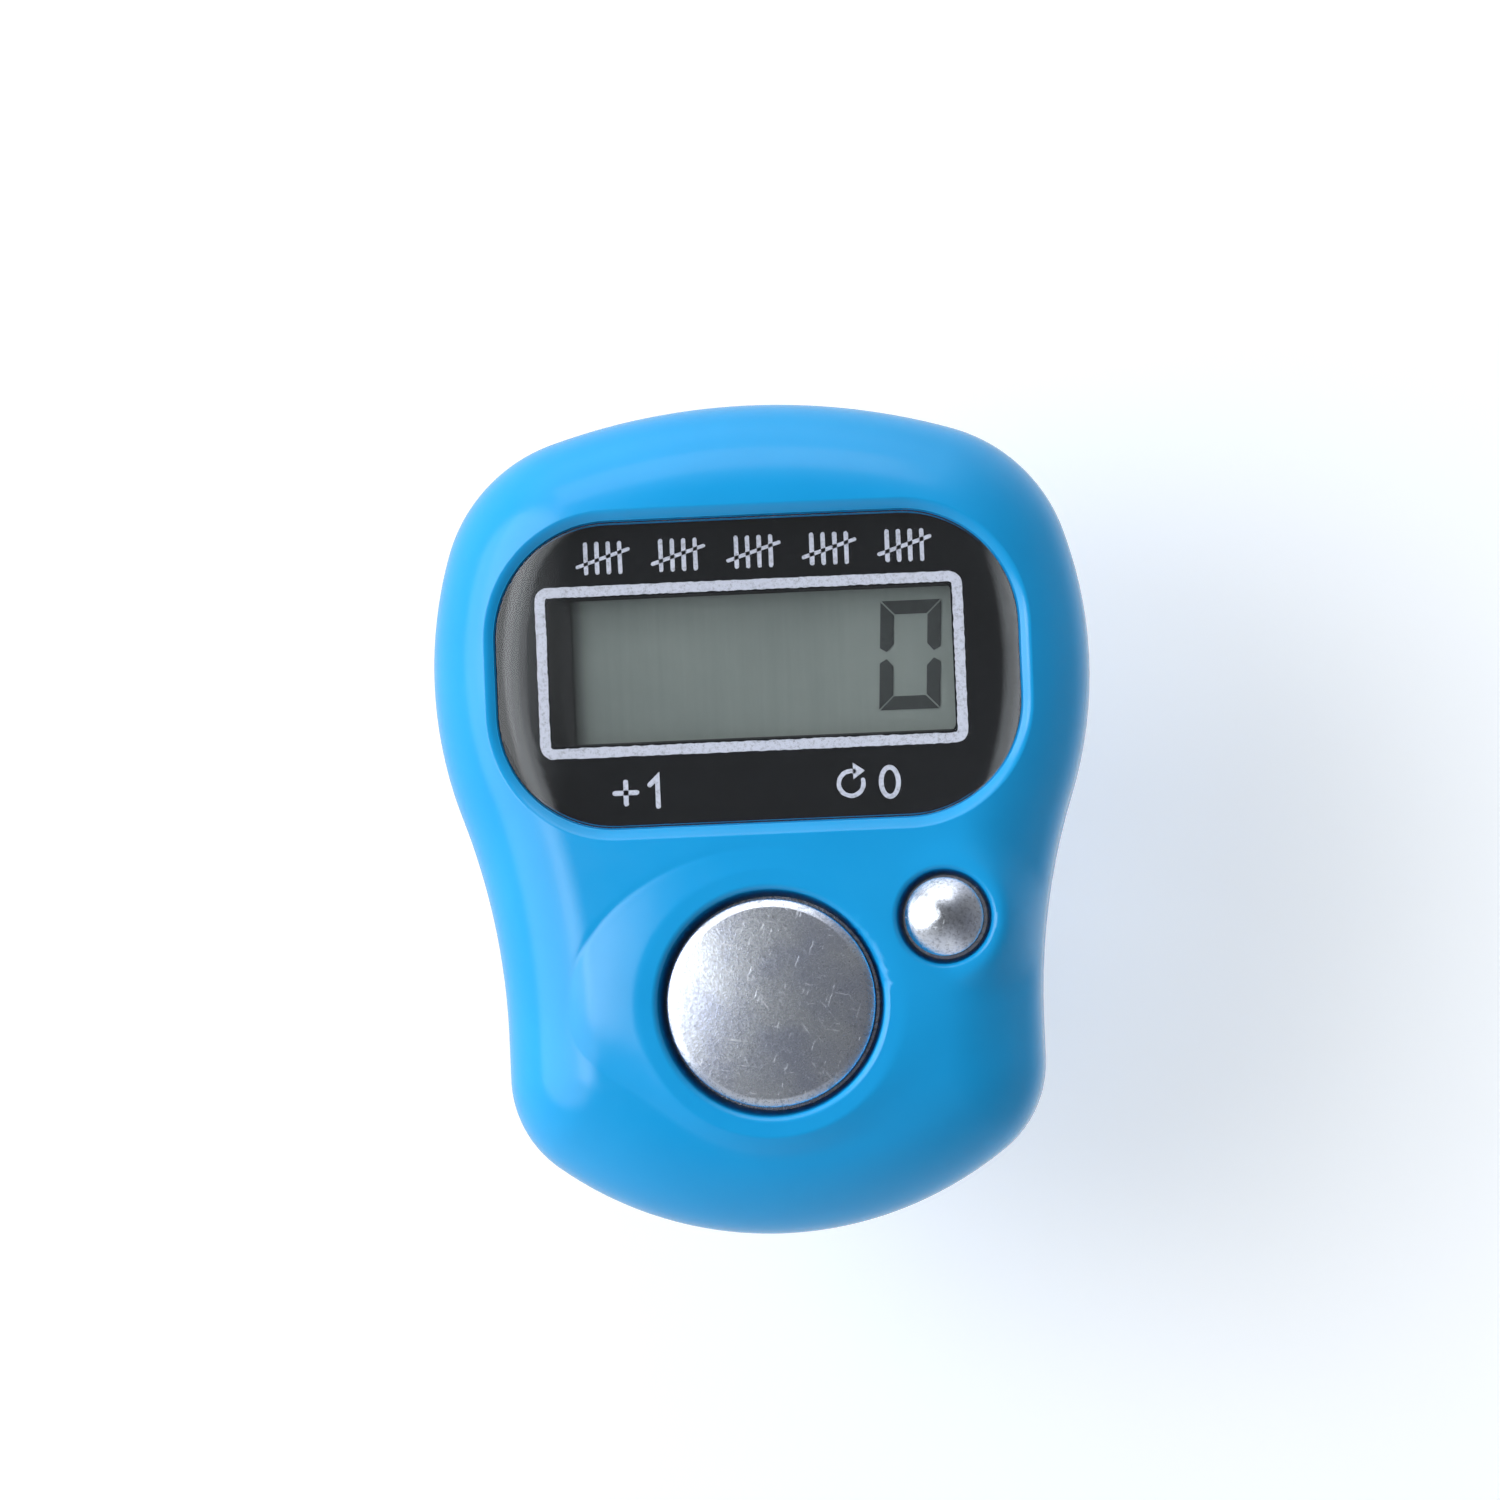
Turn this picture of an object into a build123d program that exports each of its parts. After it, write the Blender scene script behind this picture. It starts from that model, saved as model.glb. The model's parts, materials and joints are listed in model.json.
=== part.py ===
"""Hand tally counter worn on a finger: two-shell case, display, two keys, coin cell and strap.

Frame: +Z out of the display, +Y towards the display end, +X to the right of the display.
The origin is the middle of the finger loop, on the finger's axis, which runs along X.
"""

from build123d import *
from math import cos, radians, sin
import os

# Finger loop and strap
finger_r = 8.8
strap_w = 8.0
strap_t = 1.2
strap_corner = 0.45
loop_gap = 0.1
strap_y = 3.6                         # the loop's place on the case, from the case's middle
case_y = -strap_y                     # the case's middle in the part's frame
back_z = finger_r + loop_gap          # height of the case's back face above the finger's axis

# Case outline: tangent arcs, as radius and turn in degrees, from the top centre round to the bottom
top_y = 18.97
crown_r, crown_turn = 30.5, 17.5
shoulder_r, shoulder_turn = 7.5, 54.7
flank_r, flank_turn = 19.0, 37.0
waist_r = 30.7
waist_turn = crown_turn + shoulder_turn + flank_turn - 90
hip_len = 1.92
corner_r, corner_turn = 5.1, 52.7

# Case heights, measured up from the back face
parting_h = 5.2
dome_h = 11.35                        # top of the face, at dome_y
dome_y = 3.0
dome_across_r, dome_along_r = 100.0, 400.0
front_round = 4.5
back_round = 2.0
wall = 1.4
floor_t = 1.3
seam = 0.14

# Display window and its seat
window_y = 6.8
window_w, window_l, window_round = 23.8, 13.9, 5.3
window_sink = 0.35                    # how far the window's face lies below the case's
window_low_h = 9.75
seat_h = 9.55
seat_under_h = 8.65
seat_rim = 1.2
seat_open_w, seat_open_l = 20.6, 9.0
pocket_gap = 0.08
adhesive_t = 0.1
print_t = 0.04
view_x, view_y = -0.3, 7.0
view_w, view_l = 18.3, 6.7

# Count key and reset key
count_x, count_y = 0.0, -8.36
count_hole_r, count_r, count_flange_r = 5.15, 4.73, 5.8
count_top_h, count_crown = 11.15, 0.3
count_rim_h, count_rim_r, count_skirt_r = 11.42, 6.0, 8.3
count_travel = 0.8
reset_x, reset_y = 8.0, -4.77
reset_hole_r, reset_r, reset_flange_r = 2.15, 1.78, 2.6
reset_top_h, reset_crown = 11.5, 0.55
reset_rim_h, reset_rim_r, reset_skirt_r = 11.15, 2.75, 3.3
reset_travel = 0.6
skirt_h = 9.9
guide_h = 8.3
flange_t = 0.7
flange_gap = 0.1
flange_room = 2.4

# Circuit board, display module and contacts
board_h, board_t = 4.5, 0.8
board_top_h = board_h + board_t
board_inset = 2.0
pad_t = 0.04
glass_w, glass_l, glass_t = 19.8, 8.6, 0.7
ledge_l = 1.5
polarizer_t = 0.2
lcd_top_h = 8.5
lcd_y = 6.9
holder_w, holder_l = 21.2, 9.9

# Coin cell and its door
cell_x, cell_y = 0.0, -10.6
cell_r, cell_t = 5.8, 3.1
cell_h = 1.05
door_r, door_t = 6.25, 1.0
door_fit = 0.08
groove_r, groove_low_h, groove_top_h = 7.15, 0.62, 1.04
tab_r, tab_low_h, tab_w = 7.05, 0.66, 5.6
notch_w, door_turn = 6.0, 45
ring_in_r, ring_out_r, ring_top_h = 6.0, 7.3, 4.0

# Screws
case_screws = [(9.4, -12.6), (-9.4, -12.6), (9.5, 14.7), (-9.5, 14.7)]
boss_r = 1.75
case_head_r, case_head_t, case_thread_r, case_thread_l = 1.3, 0.75, 0.7, 6.2
case_sink_h = 1.1
board_screws = [(9.7, -0.1), (-9.7, -0.1), (5.9, 15.1), (-5.9, 15.1)]
post_r = 1.25
board_head_r, board_head_t, board_thread_r, board_thread_l = 1.1, 0.6, 0.6, 3.0


def level(height):
    """The plane at a height above the case's back face, centred on the case's middle."""
    return Plane.XY.offset(back_z + height).shift_origin((0, case_y, back_z + height))


def section(x, y):
    """The upright plane at (x, y) from the case's middle, its heights from the back face."""
    return Plane(origin=(x, case_y + y, back_z), x_dir=(1, 0, 0), z_dir=(0, -1, 0))


def upright(x, y):
    """The upright axis at (x, y) from the case's middle."""
    return Axis((x, case_y + y, 0), (0, 0, 1))


def lengthwise(x):
    """The plane across X at x, its first axis along the case and its second up from the back face."""
    return Plane(origin=(x, case_y, back_z), x_dir=(0, 1, 0), z_dir=(1, 0, 0))


os.makedirs("parts", exist_ok=True)

# ---- Outline shared by both shells ----

with BuildLine() as half_outline:
    crown = JernArc((0, top_y), (1, 0), crown_r, -crown_turn)
    shoulder = JernArc(crown @ 1, crown % 1, shoulder_r, -shoulder_turn)
    flank = JernArc(shoulder @ 1, shoulder % 1, flank_r, -flank_turn)
    waist = JernArc(flank @ 1, flank % 1, waist_r, waist_turn)
    hip = Line(waist @ 1, waist @ 1 + (waist % 1) * hip_len)
    corner = JernArc(hip @ 1, hip % 1, corner_r, -corner_turn)
    bottom_turn = 90 - corner_turn
    bottom_r = (corner @ 1).X / sin(radians(bottom_turn))
    JernArc(corner @ 1, corner % 1, bottom_r, -bottom_turn)
    mirror(about=Plane.YZ)

with BuildSketch() as outline:
    add(half_outline)
    make_face()

with BuildSketch() as inner_outline:
    add(outline)
    offset(amount=-wall)

with BuildSketch() as board_outline:
    add(outline)
    offset(amount=-board_inset)

# ---- Outer body and inner cavity, split into shells below ----

body_height = dome_h + 3
dome_ring_r = dome_along_r - dome_across_r
dome_ring_at = (0, case_y + dome_y, back_z + dome_h - dome_along_r)

with BuildPart() as body:
    with BuildSketch(level(0)):
        add(outline)
    extrude(amount=body_height)
    with Locations(dome_ring_at):
        Torus(dome_ring_r, dome_across_r, rotation=(0, 90, 0), mode=Mode.INTERSECT)
    fillet(body.faces().sort_by(Axis.Z)[-1].edges(), front_round)
    fillet(body.faces().sort_by(Axis.Z)[0].edges(), back_round)

with BuildPart() as cavity:
    with BuildSketch(level(floor_t)):
        add(inner_outline)
    extrude(amount=body_height)
    with Locations(dome_ring_at):
        Torus(dome_ring_r, dome_across_r - wall, rotation=(0, 90, 0), mode=Mode.INTERSECT)
    fillet(cavity.faces().sort_by(Axis.Z)[-1].edges(), front_round - wall)
    fillet(cavity.faces().sort_by(Axis.Z)[0].edges(), back_round - wall)

# Bosses for the case screws and posts for the board screws, kept inside the body

with BuildPart() as front_bosses:
    with BuildSketch(level(parting_h)):
        with Locations(*case_screws):
            Circle(boss_r)
    extrude(amount=seat_under_h - parting_h + 0.6)
    with BuildSketch(level(board_top_h)):
        with Locations(*board_screws):
            Circle(post_r)
    extrude(amount=seat_under_h - board_top_h + 0.6)
    add(body, mode=Mode.INTERSECT)

# ---- Front cover: domed shell with window seat, key collars, screw bosses and posts ----

with BuildPart() as front_cover:
    add(body)
    split(bisect_by=level(parting_h), keep=Keep.TOP)
    chamfer(front_cover.edges().group_by(Axis.Z)[0], seam)
    add(cavity, mode=Mode.SUBTRACT)
    # seat plate that carries the window
    with BuildSketch(level(seat_under_h)):
        with Locations((0, window_y)):
            RectangleRounded(window_w + 2 * seat_rim, window_l + 2 * seat_rim, window_round + seat_rim)
    extrude(amount=seat_h - seat_under_h + 0.6)
    # flat undersides that stop the keys' flanges
    with BuildSketch(level(guide_h)):
        with Locations((count_x, count_y)):
            Circle(count_flange_r + 0.9)
        with Locations((reset_x, reset_y)):
            Circle(reset_flange_r + 0.5)
        add(inner_outline, mode=Mode.INTERSECT)
    extrude(amount=1.6)
    # raised collars
    with BuildSketch(section(count_x, count_y)):
        with BuildLine():
            Polyline(
                (0, guide_h + 0.5),
                (count_skirt_r - 0.6, guide_h + 0.5),
                (count_skirt_r, skirt_h),
                (count_rim_r + 0.35, count_rim_h - 0.12),
                (count_rim_r, count_rim_h),
                (0, count_rim_h),
                close=True,
            )
        make_face()
    revolve(axis=upright(count_x, count_y))
    with BuildSketch(section(reset_x, reset_y)):
        with BuildLine():
            Polyline(
                (0, guide_h + 0.5),
                (reset_skirt_r - 0.6, guide_h + 0.5),
                (reset_skirt_r, skirt_h),
                (reset_rim_r + 0.2, reset_rim_h - 0.08),
                (reset_rim_r, reset_rim_h),
                (0, reset_rim_h),
                close=True,
            )
        make_face()
    revolve(axis=upright(reset_x, reset_y))
    add(front_bosses)
    # room for the flanges to travel in
    with BuildSketch(level(guide_h - flange_room)):
        with Locations((count_x, count_y)):
            Circle(count_flange_r + 0.15)
        with Locations((reset_x, reset_y)):
            Circle(reset_flange_r + 0.15)
    extrude(amount=flange_room, mode=Mode.SUBTRACT)
    # window pocket, viewing opening, key holes and pilot holes
    with BuildSketch(level(seat_h)):
        with Locations((0, window_y)):
            RectangleRounded(
                window_w + 2 * pocket_gap,
                window_l + 2 * pocket_gap,
                window_round + pocket_gap,
            )
    extrude(amount=body_height, mode=Mode.SUBTRACT)
    with BuildSketch(level(seat_under_h - 1)):
        with Locations((0, lcd_y)):
            RectangleRounded(seat_open_w, seat_open_l, 0.8)
        with Locations((count_x, count_y)):
            Circle(count_hole_r)
        with Locations((reset_x, reset_y)):
            Circle(reset_hole_r)
    extrude(amount=body_height, mode=Mode.SUBTRACT)
    with BuildSketch(level(parting_h)):
        with Locations(*case_screws):
            Circle(case_thread_r)
    extrude(amount=case_sink_h + case_thread_l - parting_h + 0.2, mode=Mode.SUBTRACT)
    with BuildSketch(level(board_top_h)):
        with Locations(*board_screws):
            Circle(board_thread_r)
    extrude(amount=board_thread_l - board_t + 0.2, mode=Mode.SUBTRACT)

# ---- Back cover: floor, strap bridge and pocket, cell ring, door groove ----

bridge_half = 4.5
bridge_t = 1.2
slot_half = 6.9
slot_w = strap_w + 0.7
pocket_top_h = 2.9
pocket_wall = 0.8

with BuildPart() as back_cover:
    add(body)
    split(bisect_by=level(parting_h), keep=Keep.BOTTOM)
    chamfer(back_cover.edges().group_by(Axis.Z)[-1], seam)
    add(cavity, mode=Mode.SUBTRACT)
    # walls of the strap pocket and of the cell compartment
    with BuildSketch(level(floor_t - 0.2)):
        with Locations((0, strap_y)):
            Rectangle(slot_w + 2 * pocket_wall, 2 * (slot_half + pocket_wall))
    extrude(amount=pocket_top_h + pocket_wall - floor_t + 0.2)
    with BuildSketch(level(floor_t - 0.2)):
        with Locations((cell_x, cell_y)):
            Circle(ring_out_r + 0.6)
        add(inner_outline, mode=Mode.INTERSECT)
    extrude(amount=ring_top_h - floor_t + 0.2)
    with BuildSketch(level(floor_t - 0.2)):
        with Locations(*case_screws):
            Circle(boss_r)
    extrude(amount=parting_h - floor_t + 0.2)
    # strap pocket, crossed at the back face by the bridge
    with BuildSketch(level(0)):
        with Locations((0, strap_y)):
            Rectangle(slot_w, 2 * slot_half)
    extrude(amount=pocket_top_h, mode=Mode.SUBTRACT)
    with BuildSketch(lengthwise(-slot_w / 2 - pocket_wall)):
        with Locations((strap_y, bridge_t / 2)):
            RectangleRounded(2 * bridge_half, bridge_t, bridge_t / 2 - 0.05)
    extrude(amount=slot_w + 2 * pocket_wall)
    # cell compartment and bayonet groove, with two entry notches for the door's tabs
    with BuildSketch(level(-1)):
        with Locations((cell_x, cell_y)):
            Circle(ring_in_r)
    extrude(amount=ring_top_h + 2, mode=Mode.SUBTRACT)
    with BuildSketch(level(-1)):
        with Locations((cell_x, cell_y)):
            Circle(door_r + door_fit)
    extrude(amount=groove_top_h + 1, mode=Mode.SUBTRACT)
    with BuildSketch(level(groove_low_h)):
        with Locations((cell_x, cell_y)):
            Circle(groove_r)
    extrude(amount=groove_top_h - groove_low_h, mode=Mode.SUBTRACT)
    with BuildSketch(level(-1)):
        with Locations((cell_x, cell_y)):
            Circle(groove_r)
            Rectangle(3 * groove_r, notch_w, rotation=-door_turn, mode=Mode.INTERSECT)
    extrude(amount=groove_top_h + 1, mode=Mode.SUBTRACT)
    # recess for the positive contact beside the cell
    with BuildSketch(level(groove_top_h + 0.4)):
        with Locations((cell_x + ring_in_r + 0.2, cell_y)):
            Rectangle(1.2, 3.2)
    extrude(amount=ring_top_h, mode=Mode.SUBTRACT)
    # counterbored holes for the case screws
    with Locations(level(0)):
        with Locations(*case_screws):
            Cylinder(
                case_head_r + 0.1,
                case_sink_h,
                align=(Align.CENTER, Align.CENTER, Align.MIN),
                mode=Mode.SUBTRACT,
            )
            Cylinder(
                case_thread_r + 0.1,
                parting_h,
                align=(Align.CENTER, Align.CENTER, Align.MIN),
                mode=Mode.SUBTRACT,
            )

# ---- Battery door: round plate with coin slot and two bayonet tabs ----

coin_slot_l, coin_slot_w, coin_slot_d = 8.2, 1.4, 0.45

with BuildPart() as battery_door:
    with BuildSketch(level(0)):
        with Locations((cell_x, cell_y)):
            Circle(door_r)
    extrude(amount=door_t)
    chamfer(battery_door.edges().group_by(Axis.Z)[0], 0.15)
    with BuildSketch(level(tab_low_h)):
        with Locations((cell_x, cell_y)):
            Circle(tab_r)
        with Locations((cell_x, cell_y)):
            Rectangle(3 * tab_r, tab_w, mode=Mode.INTERSECT)
    extrude(amount=door_t - tab_low_h)
    with BuildSketch(level(0)):
        with Locations((cell_x, cell_y)):
            SlotOverall(coin_slot_l, coin_slot_w)
    extrude(amount=coin_slot_d, mode=Mode.SUBTRACT)

# ---- Window, which follows the case's dome, its black printed film and adhesive frame ----

with BuildPart() as display_window:
    with BuildSketch(level(window_low_h)):
        with Locations((0, window_y)):
            RectangleRounded(window_w, window_l, window_round)
    extrude(amount=body_height)
    with Locations((0, 0, -window_sink)):
        add(body, mode=Mode.INTERSECT)

film_inset = 0.12

with BuildPart() as window_print:
    with BuildSketch(level(seat_h + adhesive_t)):
        with Locations((0, window_y)):
            RectangleRounded(
                window_w - 2 * film_inset,
                window_l - 2 * film_inset,
                window_round - film_inset,
            )
        with Locations((view_x, view_y)):
            RectangleRounded(view_w, view_l, 0.35, mode=Mode.SUBTRACT)
    extrude(amount=print_t)

with BuildPart() as window_adhesive:
    with BuildSketch(level(seat_h)):
        with Locations((0, window_y)):
            RectangleRounded(window_w - 0.6, window_l - 0.6, window_round - 0.3)
        with Locations((0, lcd_y)):
            RectangleRounded(seat_open_w + 0.4, seat_open_l + 0.4, 1.0, mode=Mode.SUBTRACT)
    extrude(amount=adhesive_t)

# ---- Display module: holder frame, two glasses, polarizer, reflector and connector strip ----

lip_t = 0.14
front_glass_h = lcd_top_h - polarizer_t - glass_t
rear_glass_h = front_glass_h - glass_t
reflector_h = rear_glass_h - polarizer_t
holder_view_x, holder_view_w, holder_view_l = 0.25, 17.3, 6.5

with BuildPart() as lcd_holder:
    with BuildSketch(level(board_top_h)):
        with Locations((0, lcd_y)):
            RectangleRounded(holder_w, holder_l, 0.8)
            Rectangle(glass_w + 0.1, glass_l + 0.1, mode=Mode.SUBTRACT)
    extrude(amount=lcd_top_h - board_top_h)
    with BuildSketch(level(lcd_top_h)):
        with Locations((0, lcd_y)):
            RectangleRounded(holder_w, holder_l, 0.8)
        with Locations((holder_view_x, view_y)):
            Rectangle(holder_view_w, holder_view_l, mode=Mode.SUBTRACT)
    extrude(amount=lip_t)

with BuildPart() as lcd_front_polarizer:
    with BuildSketch(level(lcd_top_h - polarizer_t)):
        with Locations((0, lcd_y)):
            Rectangle(glass_w - 0.5, glass_l - 0.5)
    extrude(amount=polarizer_t)

with BuildPart() as lcd_front_glass:
    with BuildSketch(level(front_glass_h)):
        with Locations((0, lcd_y)):
            Rectangle(glass_w, glass_l)
    extrude(amount=glass_t)

with BuildPart() as lcd_rear_glass:
    with BuildSketch(level(rear_glass_h)):
        with Locations((0, lcd_y + ledge_l / 2)):
            Rectangle(glass_w, glass_l - ledge_l)
    extrude(amount=glass_t)

with BuildPart() as lcd_reflector:
    with BuildSketch(level(reflector_h)):
        with Locations((0, lcd_y + ledge_l / 2)):
            Rectangle(glass_w - 0.5, glass_l - ledge_l - 0.4)
    extrude(amount=polarizer_t)

with BuildPart() as zebra_connector:
    with BuildSketch(level(board_top_h)):
        with Locations((0, lcd_y - glass_l / 2 + ledge_l / 2)):
            Rectangle(glass_w - 1.0, ledge_l - 0.3)
    extrude(amount=front_glass_h - board_top_h)

# ---- Circuit board and what is soldered to it ----

with BuildPart() as circuit_board:
    with BuildSketch(level(board_h)):
        add(board_outline)
        with Locations(*case_screws):
            Circle(boss_r + 0.25, mode=Mode.SUBTRACT)
        with Locations(*board_screws):
            Circle(board_thread_r + 0.1, mode=Mode.SUBTRACT)
    extrude(amount=board_t)

blob_x, blob_y, blob_r, blob_t = -3.0, 7.6, 2.9, 0.95

with BuildPart() as chip_blob:
    with BuildSketch(section(blob_x, blob_y)):
        with BuildLine():
            base = Line((0, board_top_h), (blob_r, board_top_h))
            TangentArc((0, board_top_h + blob_t), base @ 1, tangent=(1, 0))
            Line((0, board_top_h + blob_t), (0, board_top_h))
        make_face()
    revolve(axis=upright(blob_x, blob_y))

crystal_r, crystal_l = 0.75, 4.4
crystal_y = -5.6
crystal_x = -8.3

with BuildPart() as board_components:
    with Locations(level(board_top_h)):
        with Locations((-9.0, -9.5), (-7.5, -9.5), (7.6, -10.0), (6.6, 9.4), (6.6, 7.2)):
            Box(0.8, 1.6, 0.5, align=(Align.CENTER, Align.CENTER, Align.MIN))
        with Locations((3.2, 8.4)):
            Box(2.0, 1.25, 0.8, align=(Align.CENTER, Align.CENTER, Align.MIN))
    with BuildSketch(section(crystal_x, crystal_y + crystal_l / 2)):
        with Locations((0, board_top_h + crystal_r)):
            Circle(crystal_r)
    extrude(amount=crystal_l)

pad_split = 0.35

with BuildPart() as contact_pads:
    with BuildSketch(level(board_top_h)):
        with Locations((count_x, count_y)):
            Circle(2.2)
            Rectangle(pad_split, 5, mode=Mode.SUBTRACT)
        with Locations((reset_x, reset_y)):
            Circle(1.15)
            Rectangle(pad_split, 3, mode=Mode.SUBTRACT)
    extrude(amount=pad_t)

# ---- Keys: crowned metal caps with a retaining flange, silicone domes and carbon pills ----

flange_top_h = guide_h - flange_gap
flange_low_h = flange_top_h - flange_t
dome_wall = 0.35
roof_t = 0.5
pill_gap = 0.01


def key_profile(key_r, flange_r, top_h, crown_h, edge_round):
    """A key's half section: flange under the cover, straight side, rounded edge, crowned top."""
    Polyline(
        (0, flange_low_h),
        (flange_r, flange_low_h),
        (flange_r, flange_top_h),
        (key_r, flange_top_h),
        (key_r, top_h - edge_round),
    )
    cap = TangentArc((0, top_h + crown_h), (key_r - edge_round, top_h), tangent=(1, 0))
    TangentArc(cap @ 1, (key_r, top_h - edge_round), tangent=cap % 1)
    Line((0, top_h + crown_h), (0, flange_low_h))


with BuildPart() as count_button:
    with BuildSketch(section(count_x, count_y)):
        with BuildLine():
            key_profile(count_r, count_flange_r, count_top_h, count_crown, 0.7)
        make_face()
    revolve(axis=upright(count_x, count_y))

with BuildPart() as reset_button:
    with BuildSketch(section(reset_x, reset_y)):
        with BuildLine():
            key_profile(reset_r, reset_flange_r, reset_top_h, reset_crown, 0.35)
        make_face()
    revolve(axis=upright(reset_x, reset_y))


def dome_profile(foot_r, cap_r, roof_h):
    """A silicone dome's half section: foot on the board, leaning wall, flat roof under the key."""
    foot_t = 0.4
    Polyline(
        (cap_r - dome_wall, roof_h - roof_t),
        (foot_r - dome_wall - 0.35, board_top_h),
        (foot_r, board_top_h),
        (foot_r, board_top_h + foot_t),
        (foot_r - 0.3, board_top_h + foot_t),
        (cap_r, roof_h),
        (0, roof_h),
        (0, roof_h - roof_t),
        close=True,
    )


with BuildPart() as count_dome:
    with BuildSketch(section(count_x, count_y)):
        with BuildLine():
            dome_profile(4.6, 3.1, flange_low_h)
        make_face()
    revolve(axis=upright(count_x, count_y))

with BuildPart() as reset_dome:
    with BuildSketch(section(reset_x, reset_y)):
        with BuildLine():
            dome_profile(2.5, 1.75, flange_low_h)
        make_face()
    revolve(axis=upright(reset_x, reset_y))

roof_low_h = flange_low_h - roof_t
count_pill_h = board_top_h + pad_t + count_travel + pill_gap
reset_pill_h = board_top_h + pad_t + reset_travel + pill_gap

with BuildPart() as count_contact_pill:
    with BuildSketch(level(count_pill_h)):
        with Locations((count_x, count_y)):
            Circle(2.0)
    extrude(amount=roof_low_h - count_pill_h)

with BuildPart() as reset_contact_pill:
    with BuildSketch(level(reset_pill_h)):
        with Locations((reset_x, reset_y)):
            Circle(1.0)
    extrude(amount=roof_low_h - reset_pill_h)

# ---- Coin cell: can, sealing gasket and cap ----

cap_r = 4.6
gasket_r = 5.0
can_t = 0.25

with BuildPart() as cell_can:
    with BuildSketch(level(cell_h)):
        with Locations((cell_x, cell_y)):
            Circle(cell_r)
    extrude(amount=cell_t - 0.25)
    fillet(cell_can.edges().group_by(Axis.Z)[0], 0.4)
    fillet(cell_can.edges().group_by(Axis.Z)[-1], 0.3)
    with BuildSketch(level(cell_h + can_t)):
        with Locations((cell_x, cell_y)):
            Circle(gasket_r)
    extrude(amount=cell_t, mode=Mode.SUBTRACT)

with BuildPart() as cell_gasket:
    with BuildSketch(level(cell_h + can_t)):
        with Locations((cell_x, cell_y)):
            Circle(gasket_r)
            Circle(cap_r, mode=Mode.SUBTRACT)
    extrude(amount=cell_t - can_t - 0.15)

with BuildPart() as cell_cap:
    with BuildSketch(level(cell_h + can_t)):
        with Locations((cell_x, cell_y)):
            Circle(cap_r)
    extrude(amount=cell_t - can_t)
    fillet(cell_cap.edges().group_by(Axis.Z)[-1], 0.3)

leaf_t = 0.15
cell_top_h = cell_h + cell_t

with BuildPart() as battery_contact_negative:
    with BuildSketch(lengthwise(cell_x - 1.5)):
        with BuildLine():
            ThreePointArc(
                (cell_y - 4, board_h),
                (cell_y, cell_top_h),
                (cell_y + 4, board_h),
            )
            Line((cell_y + 4, board_h), (cell_y + 3.1, board_h))
            ThreePointArc(
                (cell_y + 3.1, board_h),
                (cell_y, cell_top_h + leaf_t),
                (cell_y - 3.1, board_h),
            )
            Line((cell_y - 3.1, board_h), (cell_y - 4, board_h))
        make_face()
    extrude(amount=3.0)

contact_w = 2.4

with BuildPart() as battery_contact_positive:
    with BuildSketch(section(cell_x + cell_r, cell_y + contact_w / 2)):
        with BuildLine():
            Polyline(
                (0, 2.0),
                (leaf_t + 0.1, 1.6),
                (leaf_t + 0.1, board_h - leaf_t),
                (2.0, board_h - leaf_t),
                (2.0, board_h),
                (0.1, board_h),
                (0.1, 3.0),
                close=True,
            )
        make_face()
    extrude(amount=contact_w)

# ---- Screws ----

with BuildPart() as case_screw_set:
    with Locations(level(case_sink_h - case_head_t)):
        with Locations(*case_screws):
            Cylinder(
                case_head_r,
                case_head_t,
                align=(Align.CENTER, Align.CENTER, Align.MIN),
            )
            Cylinder(
                case_thread_r,
                case_head_t + case_thread_l,
                align=(Align.CENTER, Align.CENTER, Align.MIN),
            )
    with Locations(level(case_sink_h - case_head_t)):
        with Locations(*case_screws):
            Box(1.5, 0.35, 0.8, mode=Mode.SUBTRACT)
            Box(0.35, 1.5, 0.8, mode=Mode.SUBTRACT)

with BuildPart() as board_screw_set:
    with Locations(level(board_h - board_head_t)):
        with Locations(*board_screws):
            Cylinder(
                board_head_r,
                board_head_t,
                align=(Align.CENTER, Align.CENTER, Align.MIN),
            )
            Cylinder(
                board_thread_r,
                board_head_t + board_thread_l,
                align=(Align.CENTER, Align.CENTER, Align.MIN),
            )
            Box(1.2, 0.3, 0.5, mode=Mode.SUBTRACT)
            Box(0.3, 1.2, 0.5, mode=Mode.SUBTRACT)

# ---- Finger strap: band through the pocket and round the finger, with a pegged tail ----

bend_r = 2.4
run_h = 2.1
lean = 62.0                              # slope of the legs below the horizontal
mid_r = finger_r + strap_t / 2
leg_len = (back_z + run_h - bend_r - (mid_r - bend_r) * cos(radians(lean))) / sin(radians(lean))
run_half = (mid_r - bend_r) * sin(radians(lean)) - leg_len * cos(radians(lean))
tail_gap = 0.12
tail_r = mid_r + strap_t + tail_gap
tail_from, tail_to = 236.0, 128.0        # angles round the loop, clockwise from the top
peg_at = 150.0
hole_step = 17.0
hole_r = 0.75


def round_loop(angle, radius):
    """The upright plane whose normal points outwards at an angle clockwise from the loop's top."""
    out = (0, sin(radians(angle)), cos(radians(angle)))
    centre = (0, radius * out[1], radius * out[2])
    return Plane(origin=centre, x_dir=(1, 0, 0), z_dir=out)


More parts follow.
